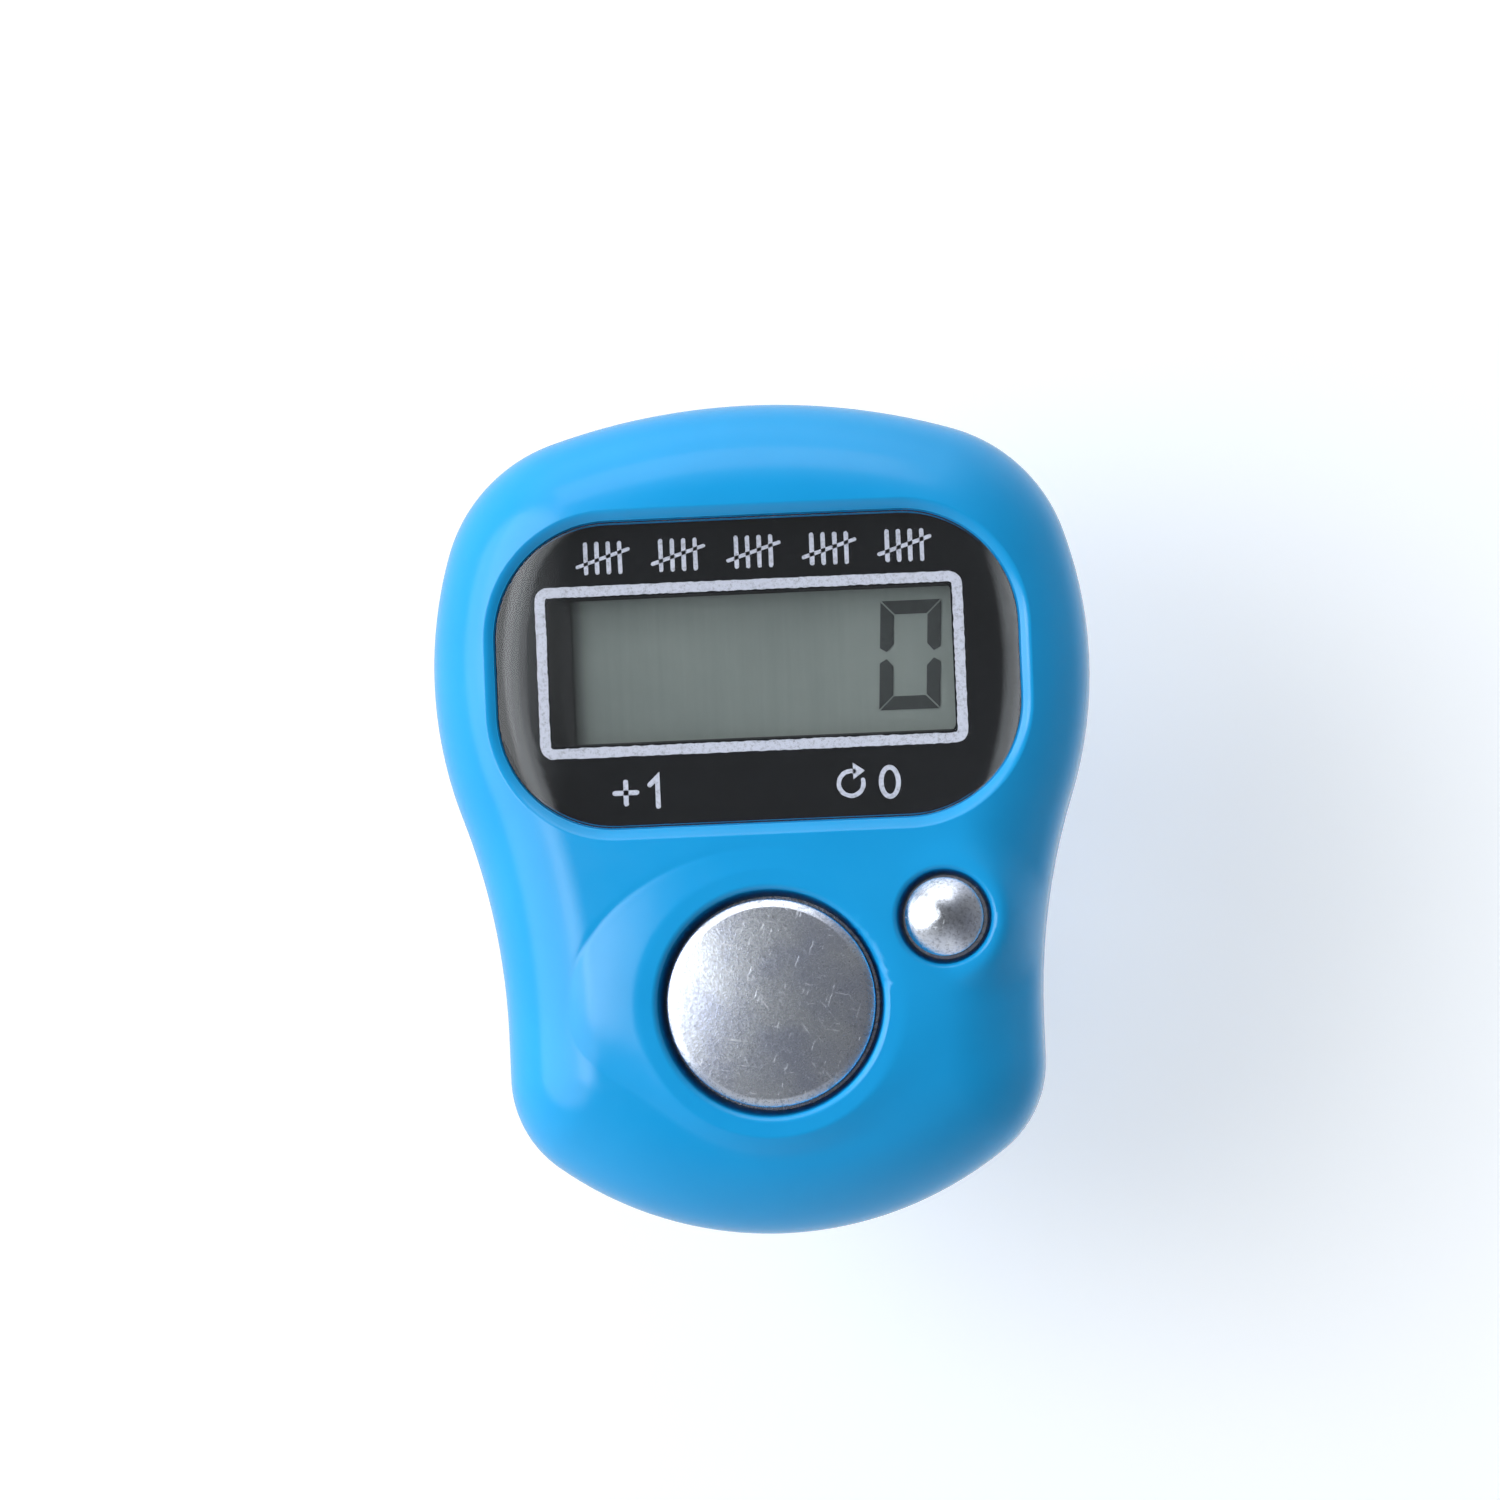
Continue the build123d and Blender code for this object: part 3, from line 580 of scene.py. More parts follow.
def triangulate(loops, extra):
    """Triangles between an outer loop and its holes: points, faces and the loops' indices."""
    points, edges, spans = [], [], []
    for loop in loops:
        start = len(points)
        points += [Vector(p) for p in loop]
        n = len(loop)
        edges += [(start + k, start + (k + 1) % n) for k in range(n)]
        spans.append((start, n))
    points += [Vector(p) for p in extra]
    out, _, tris, origin, _, _ = delaunay_2d_cdt(points, edges, [], 0, 1e-6)
    where = {}
    for index, sources in enumerate(origin):
        for source in sources:
            where[source] = index
    spans = [[where[start + k] for k in range(n)] for start, n in spans]
    walls = {frozenset(pair) for span in spans for pair in zip(span, span[1:] + span[:1])}

    # regions of triangles that no loop parts, each kept or dropped as a whole
    sides = {}
    for index, tri in enumerate(tris):
        for k in range(3):
            sides.setdefault(frozenset((tri[k], tri[(k + 1) % 3])), []).append(index)
    region, faces = {}, []
    for first in range(len(tris)):
        if first in region:
            continue
        region[first] = first
        stack, members = [first], []
        while stack:
            here = stack.pop()
            members.append(here)
            tri = tris[here]
            for k in range(3):
                side = frozenset((tri[k], tri[(k + 1) % 3]))
                for other in sides[side] if side not in walls else ():
                    if other not in region:
                        region[other] = first
                        stack.append(other)

        def area(index):
            a, b, c = (out[k] for k in tris[index])
            return (b - a).cross(c - a) / 2

        largest = max(members, key=lambda index: abs(area(index)))
        middle = sum((out[k] for k in tris[largest]), Vector((0, 0))) / 3
        if inside_loops(loops, middle.x, middle.y):
            for index in members:
                a, b, c = tris[index]
                faces.append((a, b, c) if area(index) > 0 else (a, c, b))
    return [(p.x, p.y) for p in out], faces, spans


class Builder:
    """Gathers points and faces of one mesh."""

    def __init__(self):
        self.verts = []
        self.faces = []

    def ring(self, points):
        start = len(self.verts)
        self.verts += points
        return list(range(start, start + len(points)))

    def bridge(self, a, b):
        n = len(a)
        self.faces += [(a[k], a[(k + 1) % n], b[(k + 1) % n], b[k]) for k in range(n)]

    def bridge_all(self, rings):
        for a, b in zip(rings, rings[1:]):
            self.bridge(a, b)

    def fill(self, loops, height, extra=(), flip=False):
        """Faces between an outer loop and its holes. Returns the loops' points in the mesh."""
        points, faces, spans = triangulate(loops, extra)
        start = len(self.verts)
        self.verts += [(x, y, height(x, y)) for x, y in points]
        for f in faces:
            f = tuple(start + k for k in f)
            self.faces.append(f[::-1] if flip else f)
        return [[start + k for k in span] for span in spans]

    def flat(self, ring):
        """A ring's points as seen from above."""
        return [self.verts[k][:2] for k in ring]


# ---- Front cover ----


def soft_ramp(t, first, last):
    """1 before 0, 0 after 1, straight between, rounded over first at 0 and over last at 1."""
    if t <= -first:
        return 1.0
    if t < first:
        return 1 - (t + first) ** 2 / (4 * first)
    if t < 1 - last:
        return 1 - t
    if t < 1 + last:
        return (1 + last - t) ** 2 / (4 * last)
    return 0.0


def dome_height(x, y):
    """The face's height before its features: a dome with a rounded edge."""
    across = sqrt(DOME_ACROSS_R**2 - x * x)
    ring = DOME_ALONG_R - DOME_ACROSS_R + across
    top = DOME_H - DOME_ALONG_R + sqrt(ring**2 - (y - DOME_Y) ** 2)
    d = inset(x, y)
    if d >= FRONT_ROUND:
        return top
    d = max(d, 0.0)
    return top - FRONT_ROUND + sqrt(FRONT_ROUND**2 - (FRONT_ROUND - d) ** 2)


# the count key's collar: its least reach, and two bulges by direction, reach and spread
COLLAR_R = 6.95
LEFT_AT, LEFT_REACH, LEFT_SPREADS = 182, 2.3, (50, 25)
RIGHT_AT, RIGHT_REACH, RIGHT_SPREAD = 5, 2.8, 42
CREASE_AT, CREASE_W, CREASE_DEPTH = 150, 0.16, 0.035
RESET_COLLAR_W, COLLAR_BLEND = 1.25, 0.10


def collar_reach(angle):
    """How far the count key's collar runs out, by direction in degrees from +X."""
    a = (angle + 360) % 360
    left = a - LEFT_AT
    spread = LEFT_SPREADS[0] if left < 0 else LEFT_SPREADS[1]
    reach = COLLAR_R + LEFT_REACH * exp(-((left / spread) ** 2))
    right = (a - RIGHT_AT + 180) % 360 - 180
    return reach + RIGHT_REACH * exp(-((right / RIGHT_SPREAD) ** 2))


def from_count(x, y):
    return hypot(x - COUNT[0], y - COUNT[1])


def from_reset(x, y):
    return hypot(x - RESET[0], y - RESET[1])


def collar_lift(x, y, base):
    """How far the collars round both keys stand above the dome."""
    r = from_count(x, y)
    angle = degrees(atan2(y - COUNT[1], x - COUNT[0]))
    t = (r - COUNT_RIM_R) / (collar_reach(angle) - COUNT_RIM_R)
    upper_left = 0.5 + 0.5 * cos(radians(angle - CREASE_AT))
    fade = 0.55 - 0.5 * upper_left
    count_lift = (COUNT_RIM_H - base) * soft_ramp(t, 0.09, max(0.035, fade))
    off = (r - collar_reach(angle)) / CREASE_W
    count_lift -= CREASE_DEPTH * upper_left**3 * exp(-off * off)
    t = (from_reset(x, y) - RESET_RIM_R) / RESET_COLLAR_W
    reset_lift = max(RESET_RIM_H - base, 0.02) * soft_ramp(t, 0.25, 0.7)
    gap = max(COLLAR_BLEND - abs(count_lift - reset_lift), 0) / COLLAR_BLEND
    return max(count_lift, reset_lift) + gap * gap * COLLAR_BLEND / 4


def edge_drop(r, hole_r, radius):
    """Rounding of a hole's edge."""
    inside = hole_r + radius - r
    if inside <= 0:
        return 0.0
    return radius - sqrt(max(radius**2 - inside**2, 0.0))


def face_height(x, y):
    """The face with its collars, the lip round the window and the key holes' edges."""
    base = dome_height(x, y)
    h = base + collar_lift(x, y, base)
    out = rounded_distance(WINDOW, x, y)
    t = (GAP + LIP_W - out) / LIP_W
    if t > 0:
        h -= LIP_DROP * min(t, 1.0) ** LIP_CURVE
    h -= edge_drop(from_count(x, y), COUNT_HOLE_R, COUNT_EDGE_ROUND)
    h -= edge_drop(from_reset(x, y), RESET_HOLE_R, RESET_EDGE_ROUND)
    return h


SKIRT_D, SKIRT_RINGS, SKIRT_CROWDING = 2.0, 13, 1.7
INNER_TOP_H = 7.4
GRID, GRID_ROW, GRID_HALF_W, GRID_HALF_L = 0.34, 0.87, 14.0, 18.0
POINT_GAP = 0.19
LOOP_STEP, COUNT_POINTS, RESET_POINTS, COLLAR_POINTS = 0.26, 150, 84, 180
COLLAR_FROM_R, RESET_AREA_R = 6.4, 4.0
WINDOW_GROWS = (0.13, 0.19, 0.26, 0.33, 0.40, 0.47, 0.54, 0.6, 0.7, 0.9)
RESET_RINGS = (2.17, 2.20, 2.25, 2.31, 2.40, 2.5, 2.6, 2.72, 2.85, 3.0, 3.2, 3.45, 3.7, 4.0)
COUNT_RINGS = (5.17, 5.21, 5.26, 5.33, 5.45, 5.6, 5.8, 5.95, 6.02, 6.08, 6.14, 6.2, 6.28, 6.4)
COLLAR_SHARES = [n / 10 for n in range(1, 9)] + [0.88, 0.93, 0.96, 0.98, 1.0, 1.02, 1.05, 1.1, 1.16]
EDGE_RINGS = (2.25, 2.5, 2.75, 3.0, 3.3, 3.6, 3.9, 4.2, 4.5)


def case_loop(d):
    """The case's outline, d inside it."""
    return [(x - nx * d, y - ny * d) for x, y, nx, ny in CASE_PATH]


def face_points():
    """Points inside the face: rings that follow its features first, then an even grid."""
    window_rings = [q for grow in WINDOW_GROWS for q in rounded_loop(WINDOW, grow, LOOP_STEP)]
    reset_rings = [q for r in RESET_RINGS for q in circle_loop(RESET, r, RESET_POINTS)]
    collar_rings = [q for r in COUNT_RINGS for q in circle_loop(COUNT, r, COUNT_POINTS)]
    for share in COLLAR_SHARES:
        for k in range(COLLAR_POINTS):
            a = 2 * pi * k / COLLAR_POINTS
            r = COLLAR_FROM_R + (collar_reach(degrees(a)) - COLLAR_FROM_R) * share
            collar_rings.append((COUNT[0] + r * cos(a), COUNT[1] + r * sin(a)))
    edge_rings = [q for d in EDGE_RINGS for q in case_loop(d)]
    grid, row, y = [], 0, -GRID_HALF_L
    while y < GRID_HALF_L:
        x = -GRID_HALF_W + (row % 2) * GRID / 2
        while x < GRID_HALF_W:
            grid.append((x, y))
            x += GRID
        row += 1
        y += GRID * GRID_ROW

    def clear(points, edge, window, reset=0.0, count=0.0):
        """The points farther than that from the edge, the window and the keys' middles."""
        points = [q for q in points if inset(*q) > edge and rounded_distance(WINDOW, *q) > window]
        return [q for q in points if from_reset(*q) > reset and from_count(*q) > count]

    near = SKIRT_D + 0.15
    keys = (RESET_AREA_R, COLLAR_FROM_R)
    families = [
        clear(window_rings, near, 0.0),
        clear(reset_rings, near, 1.0),
        clear(collar_rings, near, 1.0, RESET_AREA_R),
        clear(edge_rings, 0.0, GAP + 0.1, *keys),
        clear(grid, SKIRT_D + 0.2, GAP + 0.1, *keys),
    ]
    return spaced(families, POINT_GAP)


def build_front_cover():
    """The front cover as a closed shell, without the bosses inside."""
    mesh = Builder()

    # outer skirt, from the seam up and over the rounded edge
    rings = [mesh.ring([(x, y, PARTING_H) for x, y in case_loop(SEAM)])]
    rings.append(mesh.ring([(x, y, PARTING_H + SEAM) for x, y in case_loop(0)]))
    for k in range(SKIRT_RINGS + 1):
        outline = case_loop(SKIRT_D * (k / SKIRT_RINGS) ** SKIRT_CROWDING)
        rings.append(mesh.ring([(x, y, face_height(x, y)) for x, y in outline]))
    for a, b in zip(rings, rings[1:]):
        mesh.bridge(b, a)

    # face, from the skirt's last ring inwards
    loops = [
        case_loop(SKIRT_D)[::-1],
        rounded_loop(WINDOW, GAP, LOOP_STEP),
        circle_loop(COUNT, COUNT_HOLE_R, COUNT_POINTS),
        circle_loop(RESET, RESET_HOLE_R, RESET_POINTS),
    ]
    rim, window_edge, count_edge, reset_edge = mesh.fill(loops, face_height, face_points())
    mesh.bridge(rim[::-1], rings[-1])

    # walls down to the window's seat and through the key holes
    def drop(edge, h, middle=(0, 0), share=1.0):
        """A wall from an edge down to h, where it is share times as wide round its middle."""
        points = []
        for k in edge:
            x, y = (m + (v - m) * share for v, m in zip(mesh.verts[k], middle))
            points.append((x, y, h))
        low = mesh.ring(points)
        mesh.bridge(edge, low)
        return low

    seat = drop(window_edge, SEAT_H)
    count_low = drop(count_edge, SEAT_UNDER_H, COUNT, COUNT_WELL_R / COUNT_HOLE_R)
    reset_low = drop(reset_edge, SEAT_UNDER_H, RESET, RESET_WELL_R / RESET_HOLE_R)
    opening = rounded_loop(SEAT_OPEN, 0.0, 0.5)
    seat_edge, open_top = mesh.fill([mesh.flat(seat), opening], lambda x, y: SEAT_H)
    mesh.bridge(seat, seat_edge)
    open_low = drop(open_top, SEAT_UNDER_H)

    # inner wall and flat ceiling
    inner = [
        mesh.ring([(x, y, h) for x, y in case_loop(d)])
        for d, h in ((WALL, PARTING_H), (WALL, INNER_TOP_H), (SKIRT_D + 0.1, SEAT_UNDER_H))
    ]
    mesh.bridge_all([rings[0], *inner])
    lows = [inner[-1][::-1], open_low, count_low, reset_low]
    ceiling = mesh.fill([mesh.flat(low) for low in lows], lambda x, y: SEAT_UNDER_H, flip=True)
    for a, b in zip(lows, ceiling):
        mesh.bridge(a, b)
    cover = make_piece("case_front", mesh, case_blue, "case", ["front_cover"])
    shade_as(cover, face_height)


build_front_cover()

# ---- Count key ----


def build_count_key():
    """Flange, straight side, narrow bevel and crowned top, turned round the key's axis."""
    low_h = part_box("count_button")[0].z / MM - BACK_Z
    flange_h = low_h + KEY_FLANGE_T
    crown_r = COUNT_KEY_R - BEVEL_W
    ball_r = (crown_r**2 + COUNT_CROWN**2) / (2 * COUNT_CROWN)
    centre_h = COUNT_TOP_H + COUNT_CROWN - ball_r
    profile = []
    for k in range(25):
        r = crown_r * (k + 0.2) / 24.2
        profile.append((r, centre_h + sqrt(ball_r**2 - r * r)))

    def bend(radius, first, last):
        """An arc onwards from the profile's last point, between two slopes."""
        r, h = profile[-1]
        for k in range(1, 7):
            a = first + (last - first) * k / 6
            out = radius * (sin(a) - sin(first))
            profile.append((r + out, h - radius * (cos(first) - cos(a))))

    bend(BEVEL_ROUND, asin(crown_r / ball_r), BEVEL_TILT)
    r, h = profile[-1]
    run = COUNT_KEY_R - r - BEVEL_CORNER * (1 - sin(BEVEL_TILT))
    profile.append((r + run, h - run * tan(BEVEL_TILT)))
    bend(BEVEL_CORNER, BEVEL_TILT, pi / 2)
    profile += [(COUNT_KEY_R, flange_h), (COUNT_FLANGE_R, flange_h), (COUNT_FLANGE_R, low_h)]
    mesh = Builder()
    rings = [mesh.ring([(x, y, h) for x, y in circle_loop(COUNT, r, 160)]) for r, h in profile]
    mesh.bridge_all(rings)
    mesh.faces += [tuple(rings[0]), tuple(rings[-1])]
    make_piece("count_cap", mesh, count_metal, "count_key", ["count_button"])


build_count_key()


def flatten_dome(node):
    """Gives a silicone dome its own copy of its mesh; the dome keeps its shape."""
    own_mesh(nodes[node])


flatten_dome("count_dome")
flatten_dome("reset_dome")

# ---- Window, prints and display digits ----


def window_height(x, y):
    return dome_height(x, y) - WINDOW_SINK


def build_window():
    """Clear window that follows the dome, flat underneath, with a finely rounded edge."""
    mesh = Builder()
    edge_round, step, grid_step = 0.07, 0.24, 0.5
    outline = rounded_loop(WINDOW, 0.0, step)
    low = mesh.ring([(x, y, WINDOW_LOW_H) for x, y in outline])
    last = mesh.ring([(x, y, window_height(x, y) - edge_round) for x, y in outline])
    mesh.bridge(low, last)
    grows = (0.02, 0.07, 0.14, 0.25, 0.4, 0.6, 0.8, 1.0, 1.25, 1.5, 1.75, 2.0, 2.3, 2.6)
    for grow in grows:
        dip = max(edge_round - grow, 0) ** 2 / edge_round
        loop = rounded_loop(WINDOW, -grow, step)
        ring = mesh.ring([(x, y, window_height(x, y) - dip) for x, y in loop])
        mesh.bridge(last, ring)
        last = ring
    rows, columns = range(-10, 11), range(-20, 21)
    grid = [(grid_step * i, WINDOW[1] + grid_step * j) for i in columns for j in rows]
    grid = [q for q in grid if rounded_distance(WINDOW, *q) < -grows[-1] - 0.2]
    mesh.bridge(last, mesh.fill([mesh.flat(last)], window_height, grid)[0])
    mesh.bridge(mesh.fill([outline], lambda x, y: WINDOW_LOW_H, flip=True)[0], low)
    window = "display_window"
    lens = make_piece("window_lens", mesh, window_clear, "case", [window], angle=30)
    shade_as(lens, window_height)


build_window()

INK_H = PRINT_TOP_H + 0.01
INK_T = 0.02


def outline_slab(name, loops, h, thick, material):
    """A thin flat slab bounded by closed loops; the first is outside, the rest are holes."""
    mesh = Builder()
    top = mesh.fill(loops, lambda x, y: h + thick)
    low = mesh.fill(loops, lambda x, y: h, flip=True)
    for a, b in zip(low, top):
        mesh.bridge(a, b)
    make_piece(name, mesh, material, "case")


def print_white(name, loops):
    outline_slab(name, loops, INK_H, INK_T, white_ink)


def rough_edge(loop, amount):
    """A printed outline's slight raggedness."""
    draw = random.uniform
    return [(x + draw(-amount, amount), y + draw(-amount, amount)) for x, y in loop]


FRAME_LINE = (-0.3, 7.0, 19.4, 7.8, 0.6)
FRAME_LINE_W, FRAME_LINE_STEP = 0.47, 0.16
print_white(
    "print_frame_line",
    [
        rough_edge(rounded_loop(FRAME_LINE, 0.0, FRAME_LINE_STEP), 0.018),
        rough_edge(rounded_loop(FRAME_LINE, -FRAME_LINE_W, FRAME_LINE_STEP), 0.022),
    ],
)


def stroke_loop(points, width):
    """The outline of a pen stroke with round ends along a polyline."""
    loop = []
    half = width / 2
    both = points + points[-2:0:-1]
    n = len(both)
    for k in range(n):
        (ax, ay), (bx, by) = both[k], both[(k + 1) % n]
        heading = atan2(by - ay, bx - ax)
        px, py = both[k - 1]
        before = atan2(ay - py, ax - px)
        turn = (heading - before + pi) % (2 * pi) - pi
        if k == 0 or k == len(points) - 1:
            for s in range(7):
                a = before - pi / 2 + pi * s / 6
                loop.append((ax + half * cos(a), ay + half * sin(a)))
        else:
            a = before + turn / 2 - pi / 2
            reach = half / cos(turn / 2)
            loop.append((ax + reach * cos(a), ay + reach * sin(a)))
    return loop


def print_strokes(name, strokes, width):
    for n, stroke in enumerate(strokes):
        print_white(f"{name}_{n}", [rough_edge(stroke_loop(stroke, width), 0.012)])


def tally_marks(x, y, height, groups, pitch, gap, overhang):
    """Bundles of four upright strokes; each bundle is crossed by a fifth."""
    uprights, bars = [], []
    for g in range(groups):
        left = x + g * (3 * pitch + gap)
        for k in range(4):
            uprights.append([(left + k * pitch, y), (left + k * pitch, y + height)])
        right = left + 3 * pitch
        bars.append([(left - overhang, y + 0.22 * height), (right + overhang, y + 0.78 * height)])
    return uprights, bars


uprights, bars = tally_marks(
    x=-7.6, y=11.5, height=1.3, groups=5, pitch=0.52, gap=1.86, overhang=0.38
)
print_strokes("print_tally", uprights, 0.2)
print_strokes("print_tally_bar", bars, 0.17)

# "+1" over the count key's side; a turning arrow and "0" over the reset key's side
MARK_Y, MARK_HALF, MARK_W = 1.45, 0.66, 0.22
PLUS_HALF, ARROW_R, ARROW_FROM, ARROW_TO, ARROW_W = 0.5, 0.56, 75, 375, 0.2
plus_x, one_x, arrow_x, nought_x = -6.2, -4.75, 4.0, 5.75
print_strokes(
    "print_plus_one",
    [
        [(plus_x - PLUS_HALF, MARK_Y), (plus_x + PLUS_HALF, MARK_Y)],
        [(plus_x, MARK_Y - PLUS_HALF), (plus_x, MARK_Y + PLUS_HALF)],
        [
            (one_x - 0.36, MARK_Y + MARK_HALF - 0.34),
            (one_x, MARK_Y + MARK_HALF),
            (one_x, MARK_Y - MARK_HALF),
        ],
    ],
    MARK_W,
)


def ring_points(x, y, half_w, half_h, start, end, count):
    """Points along an ellipse, from one angle in degrees to another."""
    turns = [radians(start + (end - start) * n / count) for n in range(count + 1)]
    return [(x + half_w * cos(a), y + half_h * sin(a)) for a in turns]


arrow = ring_points(arrow_x, MARK_Y, ARROW_R, ARROW_R, ARROW_FROM, ARROW_TO, 22)
print_strokes("print_turn", [arrow], ARROW_W)
tip_x, tip_y = arrow[0]
print_white(
    "print_turn_head",
    [[(tip_x - 0.04, tip_y - 0.36), (tip_x + 0.5, tip_y + 0.02), (tip_x - 0.04, tip_y + 0.4)]],
)
NOUGHT_HALF_W, NOUGHT_HALF_H = 0.5, MARK_HALF + MARK_W / 2
print_white(
    "print_nought",
    [
        ring_points(nought_x, MARK_Y, NOUGHT_HALF_W - t, NOUGHT_HALF_H - t, 0, 352, 44)
        for t in (0, MARK_W)
    ],
)

# ---- Display digit: a seven-segment nought at the right of five places ----

DIGIT_X, DIGIT_Y = 6.85, 7.2
DIGIT_W, DIGIT_L = 2.75, 4.95
SEGMENT_W, SEGMENT_GAP, SEGMENT_T = 0.62, 0.05, 0.02
SLANT = tan(radians(3.0))


def segment_loops():
    """The six lit segments of a nought, mitred at their ends."""
    w, h, t, g = DIGIT_W / 2, DIGIT_L / 2, SEGMENT_W, SEGMENT_GAP
    flat = [(-w + g, h), (w - g, h), (w - t - g, h - t), (-w + t + g, h - t)]
    side = [(w, h - g), (w, 0.34), (w - t * 0.5, 0.16), (w - t, 0.5), (w - t, h - t - g)]
    loops = [flat, [(x, -y) for x, y in flat]]
    for sx in (1, -1):
        for sy in (1, -1):
            loops.append([(sx * x, sy * y) for x, y in side])
    return [[(DIGIT_X + x + y * SLANT, DIGIT_Y + y) for x, y in loop] for loop in loops]


for n, loop in enumerate(segment_loops()):
    under, h = "lcd_front_polarizer", LCD_TOP_H + 0.01
    outline_slab(f"digit_segment_{n}", [loop], h, SEGMENT_T, segment_ink)

# ---- Finger strap: one open band whose tail laps over its end and is held by a stud ----

# angles are in degrees round the finger, from +Z towards +Y
FINGER_R = frame["record"]["mounts"][0]["dims"]["r_mm"]
STRAP_W, STRAP_T, STRAP_ROUND = 8.0, 1.2, 0.45
BEND_R, RUN_H, LEAN = 2.4, 2.1, 62.0
LAP_GAP = 0.12
END_AT, LIFT_FROM, TAIL_FROM, TAIL_TO = 222.0, 262.0, 236.0, 128.0
STUD_AT, HOLE_STEP, HOLE_R, HOLE_ROUND = 150.0, 17.0, 0.75, 0.12
MID_R = FINGER_R + STRAP_T / 2
TAIL_R = MID_R + STRAP_T + LAP_GAP


def in_part(x, y, z):
    """A point given in the part's own frame."""
    return Vector((x, y, z)) * MM


def strap_line():
    """The band's middle line as (y, z), from its covered end to its tip, in 0.1 mm steps."""
    line = []
    lean = radians(LEAN)
    run_z = BACK_Z + RUN_H
    leg = (run_z - BEND_R - (MID_R - BEND_R) * cos(lean)) / sin(lean)
    half = (MID_R - BEND_R) * sin(lean) - leg * cos(lean)

    def arc(centre, r0, r1, a0, a1):
        count = round(abs(radians(a1 - a0)) * r0 / 0.1)
        for n in range(count):
            t = n / count
            a = radians(a0 + (a1 - a0) * t)
            r = r0 + (r1 - r0) * t * t * (3 - 2 * t)
            line.append((centre[0] + r * sin(a), centre[1] + r * cos(a)))

    def straight(start, end):
        count = round(dist(start, end) / 0.1)
        for n in range(count):
            t = n / count
            line.append((start[0] + (end[0] - start[0]) * t, start[1] + (end[1] - start[1]) * t))

    out_y, out_z = sin(lean), cos(lean)
    low_bend = run_z - BEND_R
    arc((0, 0), MID_R, MID_R, END_AT, LEAN)
    straight((MID_R * out_y, MID_R * out_z), (half + BEND_R * out_y, low_bend + BEND_R * out_z))
    arc((half, low_bend), BEND_R, BEND_R, LEAN, 0)
    straight((half, run_z), (-half, run_z))
    arc((-half, low_bend), BEND_R, BEND_R, 0, -LEAN)
    straight((-half - BEND_R * out_y, low_bend + BEND_R * out_z), (-MID_R * out_y, MID_R * out_z))
    arc((0, 0), MID_R, MID_R, 360 - LEAN, LIFT_FROM)
    arc((0, 0), MID_R, TAIL_R, LIFT_FROM, TAIL_FROM)
    arc((0, 0), TAIL_R, TAIL_R, TAIL_FROM, TAIL_TO)
    return line


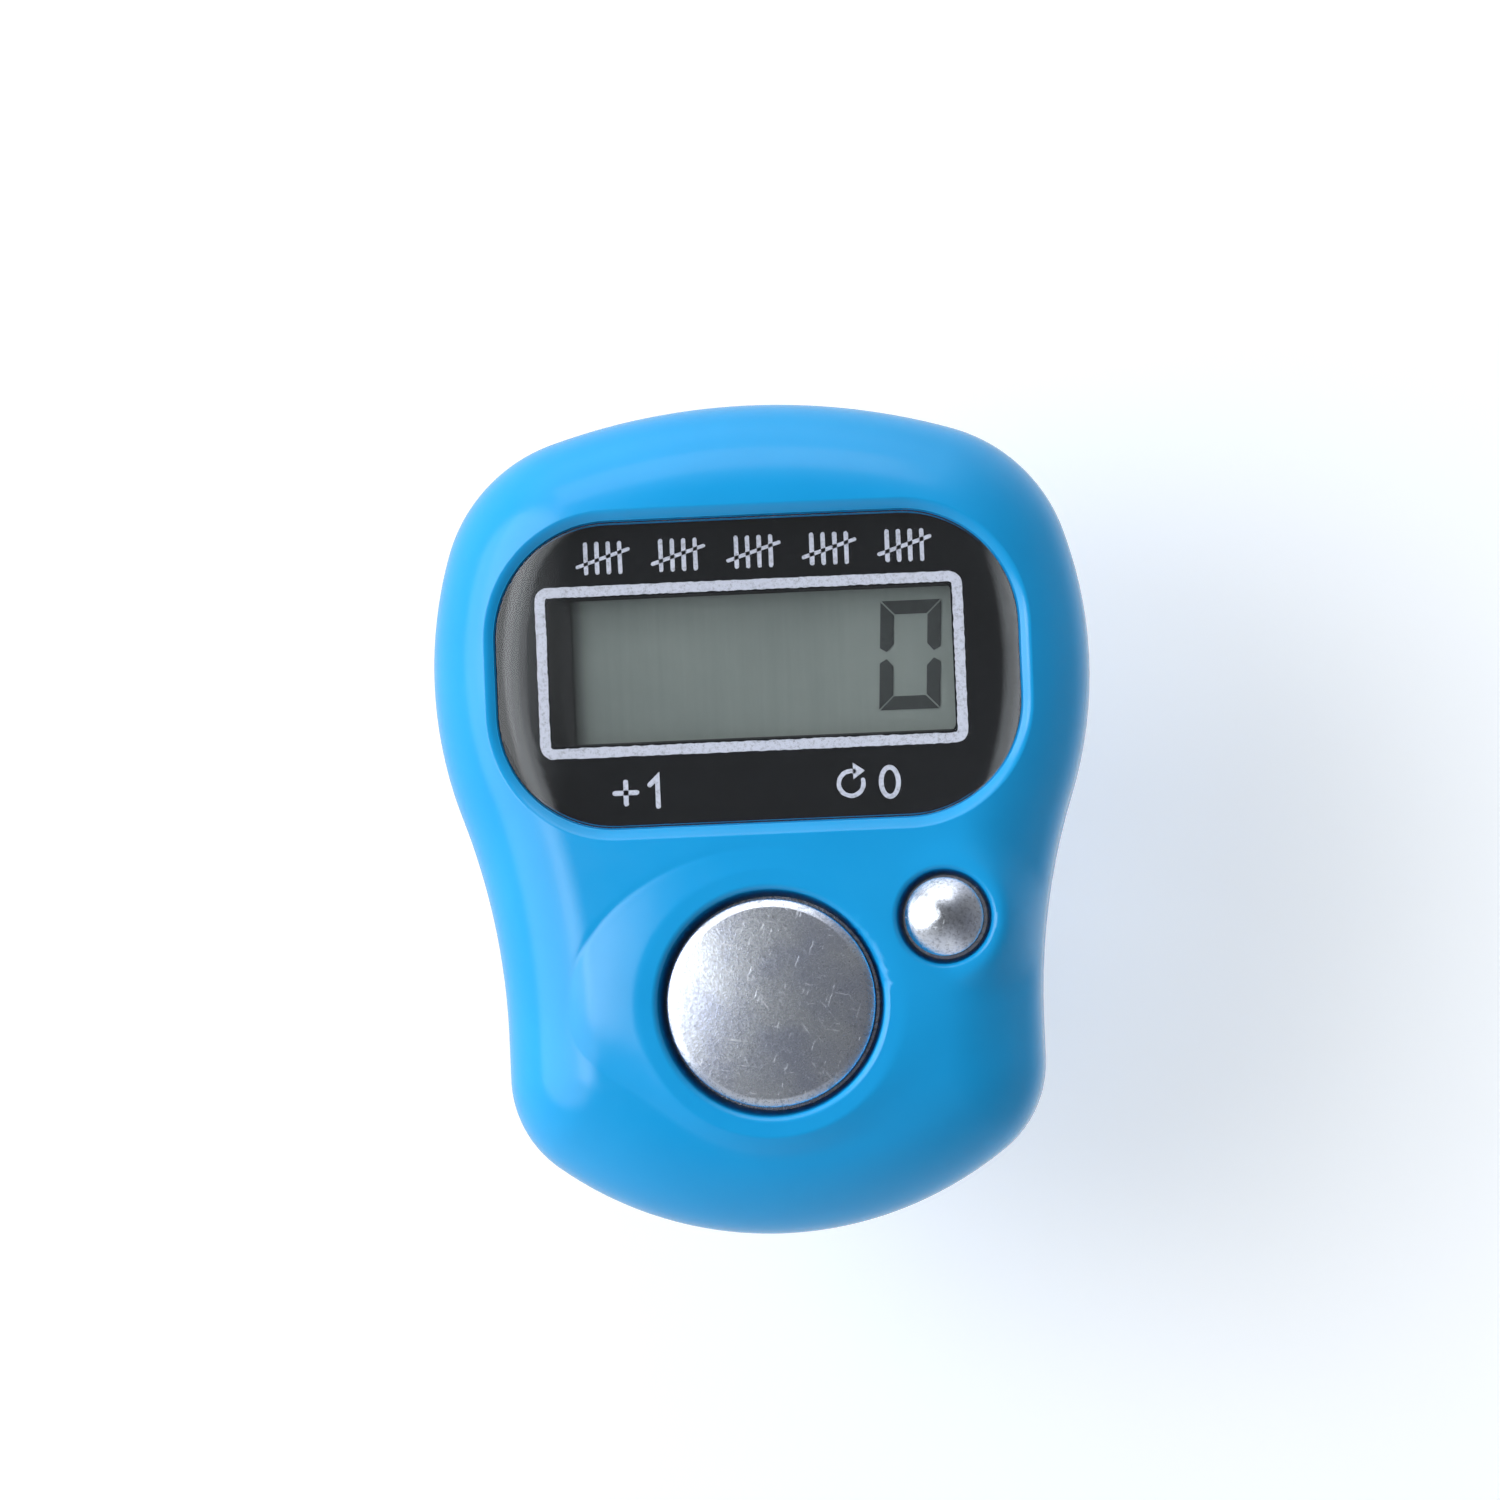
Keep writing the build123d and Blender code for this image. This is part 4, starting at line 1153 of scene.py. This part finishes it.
def build_strap():
    line = strap_line()
    along = [0.0]
    for a, b in zip(line, line[1:]):
        along.append(along[-1] + dist(a, b))
    length = along[-1]

    def on_band(u, v, w):
        """A point of the band: u along it, v across it, w out of its middle."""
        k = min(max(bisect.bisect_left(along, u), 1), len(along) - 1)
        (ay, az), (by, bz) = line[k - 1], line[k]
        span = along[k] - along[k - 1]
        t = (u - along[k - 1]) / span
        j, m = max(k - 2, 0), min(k + 1, len(line) - 1)
        ty, tz = line[m][0] - line[j][0], line[m][1] - line[j][1]
        size = hypot(ty, tz)
        return (v, ay + (by - ay) * t + w * tz / size, az + (bz - az) * t - w * ty / size)

    half = STRAP_W / 2
    outline = []

    def side(u0, u1, v, normal):
        count = round(abs(u1 - u0) / 0.3)
        outline.extend((u0 + (u1 - u0) * n / count, v, 0.0, normal) for n in range(count))

    def corner(u, v, r, a0):
        for n in range(14):
            a = radians(a0 + 90 * n / 14)
            outline.append((u + r * cos(a), v + r * sin(a), cos(a), sin(a)))

    end_r, tip_r = 1.0, 3.3
    side(end_r, length - tip_r, -half, -1.0)
    corner(length - tip_r, -half + tip_r, tip_r, -90)
    corner(length - tip_r, half - tip_r, tip_r, 0)
    side(length - tip_r, end_r, half, 1.0)
    corner(end_r, half - end_r, end_r, 90)
    corner(end_r, -half + end_r, end_r, 180)

    holes = [STUD_AT + HOLE_STEP * n for n in range(5)]
    centres = [(length - TAIL_R * radians(a - TAIL_TO), 0.0) for a in holes]
    grid = []
    rows = round(length / 0.4)
    for n in range(1, rows):
        u = length * n / rows
        for v in (-3.1, -2.3, -1.5, -0.75, 0.0, 0.75, 1.5, 2.3, 3.1):
            tip = hypot(max(u - (length - tip_r), 0), max(abs(v) - (half - tip_r), 0))
            inside = 0.9 < u and tip < tip_r - 0.75
            if inside and all(dist((u, v), c) > 1.15 for c in centres):
                grid.append((u, v))

    mesh = Builder()
    levels = [radians(90 * n / 4) for n in range(5)]
    profile = [(-1, a) for a in reversed(levels)] + [(1, a) for a in levels]
    rings = []
    for up, a in profile:
        inward = STRAP_ROUND * (1 - cos(a))
        w = up * (STRAP_T / 2 - STRAP_ROUND + STRAP_ROUND * sin(a))
        edge = [(u - nu * inward, v - nv * inward) for u, v, nu, nv in outline]
        rings.append(mesh.ring([on_band(u, v, w) for u, v in edge]))
    mesh.bridge_all(rings)
    border = [(u - nu * STRAP_ROUND, v - nv * STRAP_ROUND) for u, v, nu, nv in outline]
    loops = [border] + [circle_loop(c, HOLE_R + HOLE_ROUND, 28) for c in centres]
    points, faces, spans = triangulate(loops, grid)
    sides = []
    for up, ring in ((1, rings[-1]), (-1, rings[0])):
        w = up * STRAP_T / 2
        start = len(mesh.verts)
        mesh.verts += [on_band(u, v, w) for u, v in points]
        mesh.faces += [tuple(start + k for k in (f if up > 0 else f[::-1])) for f in faces]
        mesh.bridge(ring, [start + k for k in spans[0]])
        sides.append([[start + k for k in span] for span in spans[1:]])
    for centre, top, low in zip(centres, *sides):
        last = top
        for w in (STRAP_T / 2 - HOLE_ROUND, -STRAP_T / 2 + HOLE_ROUND):
            ring = mesh.ring([on_band(*q, w) for q in circle_loop(centre, HOLE_R, 28)])
            mesh.bridge(last, ring)
            last = ring
        mesh.bridge(last, low)
    strap = "finger_strap"
    make_piece("strap_band", mesh, strap_blue, "case", [strap], angle=40, where=in_part)


def build_stud():
    """The stud that stands on the band's covered end and holds the tail by its round head."""
    mesh = Builder()
    top = TAIL_R + STRAP_T / 2
    profile = [(0.66, MID_R + 0.5), (0.66, top - 0.02), (1.05, top + 0.03), (1.3, top + 0.05)]
    profile += [(1.37, top + 0.14), (1.34, top + 0.28), (1.18, top + 0.46), (0.88, top + 0.58)]
    profile += [(0.5, top + 0.65), (0.2, top + 0.68)]
    a = radians(STUD_AT)
    out = Vector((0, sin(a), cos(a)))
    across = Vector((0, cos(a), -sin(a)))
    rings = []
    for r, h in profile:
        ring = []
        for n in range(40):
            t = 2 * pi * n / 40
            ring.append(tuple(out * h + across * r * cos(t) + Vector((r * sin(t), 0, 0))))
        rings.append(mesh.ring(ring))
    mesh.bridge_all(rings)
    mesh.faces += [tuple(rings[0]), tuple(rings[-1])]
    make_piece("strap_stud", mesh, strap_blue, "case", where=in_part)


build_strap()
build_stud()

# ---- Floor, light and camera, in metres ----

FLOOR_GAP, FLOOR_HALF = 0.0004, 0.6


def build_floor():
    """A plain pale floor, kept out of reflections."""
    low = cad_box[0].z - FLOOR_GAP
    mesh = bpy.data.meshes.new("floor")
    s = FLOOR_HALF
    mesh.from_pydata([(-s, -s, low), (s, -s, low), (s, s, low), (-s, s, low)], [], [(0, 1, 2, 3)])
    mat, nt, shader = new_material("floor_pale")
    tone = noise(nt, place(nt), 0.02, 3.0)
    feed(shader, Base_Color=ramp(nt, tone, [(0.3, 0.86), (0.7, 0.9)]), Roughness=0.8)
    feed(shader, Emission_Color=(1, 1, 1, 1), Emission_Strength=0.3)
    mesh.materials.append(mat)
    floor = bpy.data.objects.new("floor", mesh)
    bpy.context.scene.collection.objects.link(floor)
    floor.visible_glossy = False


build_floor()

AIM = Vector((0, CASE_Y * MM, 0.018))


def area_light(name, at, size, power):
    """A soft panel aimed at the case; at and size are in metres."""
    data = bpy.data.lights.new(name, "AREA")
    data.shape = "RECTANGLE"
    data.size, data.size_y = size
    data.energy = power
    lamp = bpy.data.objects.new(name, data)
    lamp.location = at
    lamp.rotation_euler = (AIM - Vector(at)).to_track_quat("-Z", "Y").to_euler()
    bpy.context.scene.collection.objects.link(lamp)


area_light("key_left", (-0.30, 0.12, 0.26), (0.30, 0.30), 0.28)
area_light("top_soft", (-0.04, 0.36, 0.26), (0.36, 0.20), 0.22)

# the surroundings' brightness by height, from level with the part to straight overhead
SKY = [(0.0, 0.75), (0.35, 0.65), (0.6, 0.50), (0.85, 0.30), (0.95, 0.18), (1.0, 0.165)]
# patches of it: direction, cosines where it starts and is full, and how much it adds
LOW_LEFT = ((-0.83, 0.15, 0.55), 0.80, 0.87, 1.75)
HIGH_LEFT = ((-0.47, 0.10, 0.87), 0.960, 0.985, 2.8)
BEYOND_TOP = ((-0.1, 0.9, 0.35), 0.70, 0.95, 0.62)
DARK_RIGHT = ((0.95, -0.1, 0.2), 0.3, 0.88, 0.66)


def build_world():
    """Soft light all round, dim overhead, bright at the left and behind, dark at the right."""
    world = bpy.data.worlds.new("studio")
    bpy.context.scene.world = world
    world.use_nodes = True
    nt = world.node_tree
    way = add(nt, "TexCoord").outputs["Generated"]
    split = add(nt, "SeparateXYZ", Vector=way)
    sky = ramp(nt, split.outputs[2], SKY)

    def patch(axis, start, end, strength):
        dot = add(nt, "VectorMath")
        dot.operation = "DOT_PRODUCT"
        nt.links.new(way, dot.inputs[0])
        dot.inputs[1].default_value = Vector(axis).normalized()
        near = dot.outputs["Value"]
        spread = add(nt, "MapRange", Value=near, From_Min=start, From_Max=end, To_Max=strength)
        spread.interpolation_type = "SMOOTHSTEP"
        return spread.outputs["Result"]

    light = sky
    for bright in (LOW_LEFT, HIGH_LEFT, BEYOND_TOP):
        light = combine(nt, "ADD", light, patch(*bright))
    kept = combine(nt, "SUBTRACT", 1.0, patch(*DARK_RIGHT))
    light = combine(nt, "MULTIPLY", light, kept)
    feed(nt.nodes["Background"], Color=(0.90, 0.95, 1.0, 1), Strength=light)


build_world()
bpy.context.scene.view_settings.view_transform = "Standard"

CAMERA_DISTANCE, FRAME_SPAN, SENSOR = 0.6, 0.0682, 36
# how far the view leans below and right of straight down, and how far it is turned
BELOW, RIGHT, ROLL = (radians(a) for a in (1.0, 2.0, 2.4))
SHIFT_X, SHIFT_Y = -0.010, 0.0463
LOOK_AT_H = 9.0


def build_camera():
    """Looks almost straight down on the face, with the counter turned slightly in the picture."""
    data = bpy.data.cameras.new("camera")
    camera = bpy.data.objects.new("camera", data)
    bpy.context.scene.collection.objects.link(camera)
    back = Vector((sin(RIGHT), -sin(BELOW), 1.0)).normalized()
    upright = Vector((sin(ROLL), cos(ROLL), 0.0))
    up = (upright - back * upright.dot(back)).normalized()
    side = up.cross(back)
    target = put(0.0, 0.0, LOOK_AT_H)
    turn = Matrix((side, up, back)).transposed()
    camera.matrix_world = Matrix.Translation(target + back * CAMERA_DISTANCE) @ turn.to_4x4()
    data.sensor_width = SENSOR
    data.lens = SENSOR * CAMERA_DISTANCE / FRAME_SPAN
    data.shift_x, data.shift_y = SHIFT_X, SHIFT_Y
    data.clip_start, data.clip_end = 0.01, 5
    bpy.context.scene.camera = camera


build_camera()
